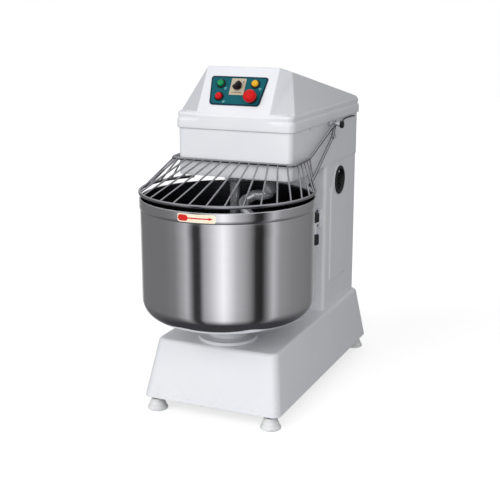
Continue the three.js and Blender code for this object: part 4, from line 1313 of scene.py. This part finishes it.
class MIXER_OT_panel(MixerStep, bpy.types.Operator):
    """Control plate with its film and marks, and the legend under the selector"""

    bl_idname = "mixer.panel"
    bl_label = "Control Panel"

    def build(self, context):
        size = context.scene.mixer_panel
        origin, turn = panel_place()
        edge = prism(plate_outline(0), 0.3 * MM, 2.05 * MM, 0.35 * MM, turn, origin)
        fit(skins("control_plate_border", [edge]), printed_border, "stand", "panel_plate",
            "control_plate")
        film = prism(plate_outline(size.border), 1.9 * MM, 2.3 * MM, 0.1 * MM, turn, origin)
        fit(skins("control_plate_film", [film]), printed_film, "stand", "panel_plate")
        self.marks(origin, turn)
        self.legend(origin, turn)

    def marks(self, origin, turn):
        """Two short pale bars below and right of each small button, as generic function marks."""
        bars = []
        thick, pitch = 1.9 * MM, 3.4 * MM
        for node in ("start_button", "stop_button", "jog_button"):
            x, y, _ = local_centre(node, origin, turn)
            left = x + 12.5 * MM
            for row, long in ((0, 8), (1, 5.5)):
                top = y - 11.5 * MM - row * pitch
                outline = rounded(left, left + long * MM, top - thick, top, 0.9 * MM, 4)
                bars.append(prism(outline, 2.2 * MM, 2.42 * MM, 0, turn, origin))
        fit(skins("function_marks", bars), printed_marks, "stand", "label_film")

    def legend(self, origin, turn):
        """A small plate with a printed rule and two index dots."""
        local = (node_points("selector_legend") - origin) @ turn.T
        low, high = local.min(0), local.max(0)
        outline = rounded(low[0], high[0], low[1], high[1], 2 * MM, 6)
        plate = prism(outline, 2.35 * MM, high[2], 0.25 * MM, turn, origin)
        fit(skins("selector_plate", [plate]), anodised_legend, "stand", "legend_plate",
            "selector_legend")
        margin, sunk, proud = 6 * MM, 0.05 * MM, 0.12 * MM
        rule = rounded(low[0] + margin, high[0] - margin, low[1] + 6.5 * MM, low[1] + 8 * MM,
                       0.7 * MM, 4)
        parts = [prism(rule, high[2] - sunk, high[2] + proud, 0, turn, origin)]
        knob = local_centre("selector_knob", origin, turn)
        for reach, degrees, radius in ((18.5, 46, 2.1), (17, 128, 1.1)):
            a = math.radians(degrees)
            spot = origin + np.array([knob[0] + reach * MM * math.cos(a),
                                      knob[1] + reach * MM * math.sin(a), high[2] - sunk]) @ turn
            dot = [(0, 0), (radius, 0), (radius, 0.17), (0, 0.17)]
            parts.append(turned(in_mm(dot), spot, turn, 20))
        fit(skins("selector_print", parts), dark_print, "stand", "black_plastic")


class MIXER_OT_controls(MixerStep, bpy.types.Operator):
    """Buttons with their collars, the emergency stop and the selector knob"""

    bl_idname = "mixer.controls"
    bl_label = "Controls"

    def build(self, context):
        origin, turn = panel_place()
        caps = (("start_button", "green_cap", "green_plastic"), ("stop_button", "red_cap", "red_plastic"),
                ("jog_button", "yellow_cap", "yellow_plastic"))
        for node, colour, slot in caps:
            x, y, _ = local_centre(node, origin, turn)
            spot = origin + np.array([x, y, 0]) @ turn
            cap = [(0, -16), (9.4, -16), (9.4, 10), (9.1, 11), (8.2, 11.9), (6.8, 12.4), (5.6, 12.1),
                   (3, 11.7), (0, 11.6)]
            rings = turned(in_mm(cap), spot, turn, 40)
            fit(skins(node + "_cap", [rings], sharp=50), colour, node, slot, node)
            self.collar(node + "_collar", spot, turn, 9.8, 13.2, 6.2)
        self.emergency(origin, turn)
        self.selector(origin, turn)

    def collar(self, name, spot, turn, inner, outer, height):
        """A raised ring round a button, chamfered outside and open inside."""
        profile = [(inner, 2.4), (outer, 2.4), (outer, height - 1.6), (outer - 1.4, height - 0.2),
                   (outer - 2, height), (inner + 0.4, height), (inner, height - 0.5), (inner, 2.4)]
        rings = turned(in_mm(profile), spot, turn, 48)
        fit(skins(name, [rings]), black_abs, "stand", "black_plastic")

    def emergency(self, origin, turn):
        """A mushroom head whose skirt has twelve shallow grips, on a black stem in a collar."""
        x, y, _ = local_centre("emergency_stop_head", origin, turn)
        spot = origin + np.array([x, y, 0]) @ turn
        dome = [(0, 25), (8.5, 25), (8.5, 12.2), (13, 12.2), (16.4, 13), (18.4, 15), (18.8, 18),
                (18.6, 21.5), (17.6, 24.6), (15.4, 27.4), (11.5, 29.6), (6, 30.7), (0, 31)]
        rings = fluted(turned(in_mm(dome), spot, turn, 96), spot, turn,
                       lambda radius: 0.035 * smooth_step(radius, 14 * MM, 18 * MM))
        fit(skins("emergency_stop_mushroom", [rings], sharp=50), "red_cap",
            "emergency_stop_cap", "red_plastic", "emergency_stop_head")
        stem = [(0, -16), (7.8, -16), (7.8, 9), (8.0, 11), (8.0, 24.4), (0, 24.4)]
        rings = turned(in_mm(stem), spot, turn, 32)
        fit(skins("emergency_stop_stem_sleeve", [rings]), black_abs, "emergency_stop_stem",
            "black_plastic", "emergency_stop_plunger")
        self.collar("emergency_stop_collar", spot, turn, 9.2, 15.5, 5.2)

    def selector(self, origin, turn):
        """A small turned skirt with a long raised grip across it, and a pointer line on the grip."""
        knob = joint_at("selector_turn")
        spot = origin + np.array([(knob - origin) @ turn[0], (knob - origin) @ turn[1], 0]) @ turn
        seat, grip_half, grip_long, tall = 3.9, 5.0, 13.5, 17
        skirt = [(0, -13), (5, -13), (5, seat), (9, seat), (9.5, seat + 0.6), (9.5, seat + 3),
                 (8.8, seat + 4.6), (7.5, seat + 5), (0, seat + 5.2)]
        rings = turned(in_mm(skirt), spot, turn, 48)
        a = math.radians(-42)
        flat_turn = np.array([[math.cos(a), math.sin(a)], [-math.sin(a), math.cos(a)]])
        grip = rounded(-grip_half * MM, grip_half * MM, -grip_long * MM, grip_long * MM,
                       4.9 * MM, 10) @ flat_turn
        grip_rings = prism(grip, (seat + 4) * MM, (seat + tall) * MM, 1.6 * MM, turn, spot)
        fit(skins("selector_grip", [rings, grip_rings], sharp=40), black_abs, "selector",
            "black_plastic", "selector_knob")
        line = rounded(-0.8 * MM, 0.8 * MM, 4 * MM, 10.4 * MM, 0.6 * MM, 4) @ flat_turn
        mark = prism(line, (seat + tall - 0.6) * MM, (seat + tall - 0.05) * MM, 0, turn, spot)
        fit(skins("selector_pointer", [mark]), cream_film, "selector", "label_film")


class MIXER_OT_bowl(MixerStep, bpy.types.Operator):
    """Bowl polished outside and painted dark inside as painted shade, with the turning-direction label on
    its band
    """

    bl_idname = "mixer.bowl"
    bl_label = "Bowl"

    def build(self, context):
        outside, inside = bowl_profile()
        rings = turned(outside + inside, (*BOWL_CENTRE, 0), count=192)
        bowl = skins("bowl_shell", [rings], sharp=60)
        fit(bowl, polished_stainless, "bowl", "stainless", "bowl")
        # The second finish is painted shade: the bowl's inside is coloured dark.
        bowl.data.materials.append(finish(shaded_inside_stainless))
        self.paint_inside_shade(bowl)
        self.label()

    def paint_inside_shade(self, bowl):
        """Faces that look towards the axis, or up from the floor, take the darker finish, which is
        painted shade.
        """
        size = bpy.context.scene.mixer_bowl
        count = len(bowl.data.polygons)
        normal = np.empty(count * 3)
        centre = np.empty(count * 3)
        bowl.data.polygons.foreach_get("normal", normal)
        bowl.data.polygons.foreach_get("center", centre)
        normal, centre = normal.reshape(-1, 3), centre.reshape(-1, 3)
        away = centre[:, :2] - BOWL_CENTRE
        inward = (normal[:, :2] * away).sum(1) < -0.3 * np.linalg.norm(away, axis=1)
        floor = (normal[:, 2] > 0.2) & (centre[:, 2] < BOWL_LOW[2] + size.fillet + 10 * MM)
        under_rim = centre[:, 2] < BOWL_HIGH[2] - 2.8 * MM
        index = ((inward | floor) & under_rim).astype(np.int32)
        bowl.data.polygons.foreach_set("material_index", index)

    def label(self):
        """A cream label with a red block at its left end and a thin arrow to the right."""
        low, high = corners("rotation_label")
        flat = node_points("rotation_label")[:, :2] - BOWL_CENTRE
        angle = np.arctan2(flat[:, 1], flat[:, 0])
        start, end = angle.min(), angle.max()
        radius = np.hypot(flat[:, 0], flat[:, 1]).min()
        width = (end - start) * radius
        film, print_thick = 0.25 * MM, 0.1 * MM
        cream = label_patch("label_film", start, end, low[2], high[2], radius, film)
        fit(cream, cream_film, "bowl", "label_film", "rotation_label")
        centre = (low[2] + high[2]) / 2
        face = radius + film - 0.01 * MM
        block_half, shaft_half, tip_half = 8.2 * MM, 1.7 * MM, 4 * MM
        block = rounded(1.5 * MM, 30 * MM, centre - block_half, centre + block_half, 7.5 * MM, 6)
        along = np.linspace(26 * MM, width - 17 * MM, 24)
        shaft = np.vstack([at_height(along[:, None], centre - shaft_half),
                           at_height(along[::-1, None], centre + shaft_half)])
        tip = np.array([(width - 19 * MM, centre - tip_half), (width - 8 * MM, centre),
                        (width - 19 * MM, centre + tip_half), (width - 18 * MM, centre)])
        for name, outline in (("block", block), ("shaft", shaft), ("tip", tip)):
            piece = wrap("label_" + name, outline, start, face, print_thick)
            fit(piece, red_film, "bowl", "label_film")


class MIXER_OT_tools(MixerStep, bpy.types.Operator):
    """Breaker bar with its flange, and the spiral hook"""

    bl_idname = "mixer.tools"
    bl_label = "Hook and Bar"

    def build(self, context):
        low, high = corners("breaker_bar")
        centre = (low + high) / 2
        radius = (high[0] - low[0]) / 2
        bottom, top = low[2], high[2]
        bar = [(0, bottom), (radius - 5 * MM, bottom), (radius - 1.6 * MM, bottom + 2 * MM),
               (radius, bottom + 6 * MM)]
        bar += [(radius, h) for h in np.linspace(bottom + 20 * MM, top - 2 * MM, 8)] + [(0, top)]
        rings = turned(bar, (centre[0], centre[1], 0), count=48)
        # The bar's and hook's light, partly matt finish is a painted sheen standing in for reflections.
        fit(skins("breaker_post", [rings], sharp=50), cast_stainless_painted_sheen, "stand", "stainless", "breaker_bar")
        self.flange(centre)
        hook = swept(hook_path(), bpy.context.scene.mixer_bowl.hook_rod, 28, True)
        axis = joint_at("spiral_spin")
        shaft_low, shaft_top = 612 * MM, corners("spiral_hook")[1][2]
        reach = 19.7 * MM
        spindle = [(0, shaft_low), (reach - 2 * MM, shaft_low), (reach, shaft_low + 2 * MM),
                   (reach, shaft_top - 1 * MM), (reach - 1 * MM, shaft_top), (0, shaft_top)]
        rings = turned(spindle, (axis[0], axis[1], 0), count=48)
        fit(skins("dough_hook", [hook, rings], sharp=60), cast_stainless_painted_sheen, "spiral", "stainless",
            "spiral_hook")

    def flange(self, centre):
        """A plate with rounded corners, a boss round the bar and two screws from below."""
        low, high = corners("breaker_bar_flange")
        outline = rounded(low[0], high[0], low[1], high[1], 8 * MM, 8)
        plate_low = high[2] - 9 * MM
        plate = prism(outline, plate_low, high[2])
        boss = [(0, low[2]), (17 * MM, low[2]), (19 * MM, low[2] + 2 * MM), (19 * MM, high[2] - 8 * MM),
                (0, high[2] - 8 * MM)]
        rings = turned(boss, (centre[0], centre[1], 0), count=40)
        fit(skins("breaker_post_flange", [plate, rings]), cast_stainless_painted_sheen, "stand", "stainless",
            "breaker_bar_flange")
        cap = [(0, -2.2), (2.4, -2.2), (2.6, -4.6), (4.6, -4.6), (5, -4.2), (5, 0.4), (0, 0.4)]
        edge = 9 * MM
        screws = [turned(in_mm(cap), (high[0] - edge, y, plate_low), count=24)
                  for y in (low[1] + edge, high[1] - edge)]
        fit(skins("flange_screws", screws), zinc_plate, "stand", "steel")


class MIXER_OT_rollers(MixerStep, bpy.types.Operator):
    """Rubber guide rollers and the brackets that hold them to the column"""

    bl_idname = "mixer.rollers"
    bl_label = "Guide Rollers"

    def build(self, context):
        for name, sign in SIDES:
            node = "guide_roller_" + name
            low, high = corners(node)
            centre = (low + high) / 2
            radius = (high[0] - low[0]) / 2
            gap_low, gap_high, pin = 481 * MM, 519 * MM, 5 * MM  # Where the bracket's eye goes.
            lower = [(0, low[2]), (radius - 3 * MM, low[2]), (radius - 0.8 * MM, low[2] + 0.8 * MM),
                     (radius, low[2] + 3 * MM), (radius, gap_low - 2 * MM),
                     (radius - 2 * MM, gap_low), (pin, gap_low)]
            upper = [(pin, gap_high), (radius - 2 * MM, gap_high), (radius, gap_high + 2 * MM),
                     (radius, high[2] - 3 * MM), (radius - 0.8 * MM, high[2] - 0.8 * MM),
                     (radius - 3 * MM, high[2]), (0, high[2])]
            rings = turned(lower + upper, (centre[0], centre[1], 0), count=48)
            fit(skins("roller_" + name, [rings], sharp=45), roller_rubber, node, "rubber", node)
            self.bracket(name, sign, centre, gap_low + 2 * MM, gap_high - 2 * MM)

    def bracket(self, name, sign, centre, low, high):
        """An eye round the roller's pin, an arm and a foot plate with two screws."""
        wall = COLUMN_LOW[1] - 0.3 * MM
        anchor = sign * 147 * MM
        eye = [(5.6, low), (12.6, low), (13, low + 0.4 * MM), (13, high - 0.4 * MM), (12.6, high),
               (5.6, high), (5.6, low)]
        rings = turned([(r * MM, h) for r, h in eye], (centre[0], centre[1], 0), count=40)
        height = (low + high) / 2
        start = np.array((centre[0], centre[1], height))
        end = np.array((anchor, wall - 4 * MM, height))
        arm = swept([start + unit(end - start) * 11 * MM, end], 8.6 * MM, 16)
        turn = axes_from((0, -1, 0))
        foot = rounded(-11 * MM, 11 * MM, -29 * MM, 29 * MM, 3 * MM, 5)
        spot = np.array((anchor, wall, height))
        plate = prism(foot, 0, 8 * MM, 1 * MM, turn, spot)
        parts = [rings, arm, plate]
        fit(skins("roller_arm_" + name, parts, sharp=40), powder_coat, "stand", "steel",
            "guide_roller_bracket_" + name)
        heads = [screw_head(spot + np.array((0, -8 * MM, up * MM)), (0, -1, 0), 4 * MM, 2.6 * MM)
                 for up in (-22, 22)]
        fit(skins("roller_screws_" + name, heads), machined_steel, "stand", "steel")


class MIXER_OT_guard(MixerStep, bpy.types.Operator):
    """Wire guard: ring, bent frame, wires, hinge lugs and their bolts"""

    bl_idname = "mixer.guard"
    bl_label = "Wire Guard"

    def build(self, context):
        ring, frame_rod, wires, lugs, bolts = guard_pieces()
        # The guard's chrome is coloured dark: a painted reflection.
        fit(skins("guard_frame", [ring, frame_rod], sharp=60), dark_chrome, "guard", "dark_chrome",
            "guard_cage")
        fit(skins("guard_wires", wires, sharp=60), dark_chrome, "guard", "dark_chrome")
        fit(skins("guard_lugs", lugs, sharp=40), dark_chrome, "guard", "dark_chrome")
        fit(skins("guard_link_bolts", bolts, sharp=40), zinc_plate, "guard", "dark_chrome")


class MIXER_OT_pivots(MixerStep, bpy.types.Operator):
    """Threaded pivot studs with nuts and washers, the guard's switch and its lead"""

    bl_idname = "mixer.pivots"
    bl_label = "Guard Pivots"

    def build(self, context):
        pivot = joint_at("guard_lift")
        for name, sign in SIDES:
            low, high = corners("guard_pivot_" + name)
            outer = high[0] if sign > 0 else -low[0]
            self.stud(name, sign, pivot, HEAD_HIGH[0] + 0.3 * MM, outer)
        low, high = corners("guard_switch")
        turn = axes_from((1, 0, 0))
        deep = (high[0] - low[0]) / MM
        body = [(0, 0), (9.6, 0), (10.6, 0.8), (11, 2), (11, deep - 2.4), (10.2, deep - 0.8),
                (8.4, deep), (0, deep)]
        rings = turned(in_mm(body), (low[0], pivot[1], pivot[2]), turn, 40)
        fit(skins("switch_body", [rings]), black_abs, "stand", "black_plastic", "guard_switch")
        self.lead()

    def stud(self, name, sign, pivot, wall, outer):
        """A stud whose thread is a row of close rings, with two nuts, a washer and a cap nut."""
        turn = axes_from((sign, 0, 0))
        origin = np.array((sign * wall, pivot[1], pivot[2]))
        long = (outer - wall) / MM
        head = 7 if sign > 0 else 10
        threads = np.arange(8.0, long - 8.4, 0.8)
        stud = [(0, 0), (5.5, 0)] + [(5.5 - (i % 2) * 0.6, h) for i, h in enumerate(threads)]
        stud += [(5.5, long - 8), (0, long - 8)]
        parts = [turned(in_mm(stud), origin, turn, 24)]
        nut = polygon(6, 7.2 * MM, 8)
        washer = polygon(32, 7.2 * MM)
        cap = polygon(6, head * MM, 8)
        rows = ((nut, 0.2, 4.6), (washer, 4.6, 5.6), (nut, 5.6, 9.5), (cap, long - 8, long))
        for outline, start, end in rows:
            parts.append(prism(outline, start * MM, end * MM, 0.5 * MM, turn, origin))
        fit(skins("pivot_stud_" + name, parts), zinc_plate, "stand", "steel", "guard_pivot_" + name)

    def lead(self):
        """The switch's thin lead, held all the way from the switch to the head's wall."""
        back = BOWL_CENTRE[1]
        route = [(212, 349.5, 779), (209, 366, 774), (199, 390, 772), (187, 420, 776),
                 (179, 450, 781), (175.8, 485, 784), (175.6, 530, 784), (175.6, 560, 783),
                 (175, 572, 782)]
        points = [(x * MM, back + b * MM, z * MM) for x, b, z in route]
        rings = swept(spline(points, 8), 1.9 * MM, 10, True)
        fit(skins("switch_lead", [rings]), black_abs, "stand", "rubber", "guard_switch_cable")


class MIXER_OT_inside(MixerStep, bpy.types.Operator):
    """Finishes of the pieces whose shape stays as it is: the plates and the drive inside"""

    bl_idname = "mixer.inside"
    bl_label = "Inner Pieces"
    only_finishes = True

    def build(self, context):
        finishes = {
            rolled_plate: ("base_plate", "head_mounting_plate", "motor_bracket"),
            galvanised_sheet: ("electrical_box",),
            cast_iron: ("spiral_bearing_housing", "countershaft_bearing_housing", "motor_body",
                        "layshaft_upper_bearing", "layshaft_lower_bearing", "motor_pulley",
                        "countershaft_pulley", "layshaft_pulley"),
            machined_steel: ("bowl_shaft", "bowl_sprocket", "spiral_sprocket", "countershaft",
                             "countershaft_sprocket", "layshaft", "layshaft_sprocket",
                             "motor_shaft"),
            belt_rubber: ("motor_belt", "bowl_belt"),
            roller_chain: ("spiral_chain", "bowl_chain"),
        }
        for maker, names in finishes.items():
            for name in names:
                slots = frame["nodes"][name].data.materials
                slots.clear()
                slots.append(finish(maker))


STEPS = (
    MIXER_OT_studio, MIXER_OT_base, MIXER_OT_feet, MIXER_OT_column, MIXER_OT_vents, MIXER_OT_head,
    MIXER_OT_panel, MIXER_OT_controls, MIXER_OT_bowl, MIXER_OT_tools, MIXER_OT_rollers,
    MIXER_OT_guard, MIXER_OT_pivots, MIXER_OT_inside,
)
GROUPS = {
    "mixer_bodywork": BodyworkSettings,
    "mixer_bowl": BowlSettings,
    "mixer_guard": GuardSettings,
    "mixer_panel": PanelSettings,
    "mixer_studio": StudioSettings,
}


class MIXER_PT_steps(bpy.types.Panel):
    """Lists the steps and the sizes"""

    bl_label = "Spiral Mixer"
    bl_idname = "MIXER_PT_steps"
    bl_space_type = "VIEW_3D"
    bl_region_type = "UI"
    bl_category = "Mixer"

    def draw(self, context):
        for group, settings in GROUPS.items():
            box = self.layout.box()
            box.label(text=settings.__doc__)
            for key in settings.__annotations__:
                box.prop(getattr(context.scene, group), key)
        for step in STEPS:
            self.layout.operator(step.bl_idname)


def register():
    for kind in (*GROUPS.values(), *STEPS, MIXER_PT_steps):
        bpy.utils.register_class(kind)
    for name, kind in GROUPS.items():
        setattr(bpy.types.Scene, name, PointerProperty(type=kind))


def unregister():
    for name in GROUPS:
        delattr(bpy.types.Scene, name)
    for kind in reversed((*GROUPS.values(), *STEPS, MIXER_PT_steps)):
        bpy.utils.unregister_class(kind)


def main():
    register()
    for step in STEPS:
        category, name = step.bl_idname.split(".")
        getattr(getattr(bpy.ops, category), name)()


if __name__ == "__main__":
    main()
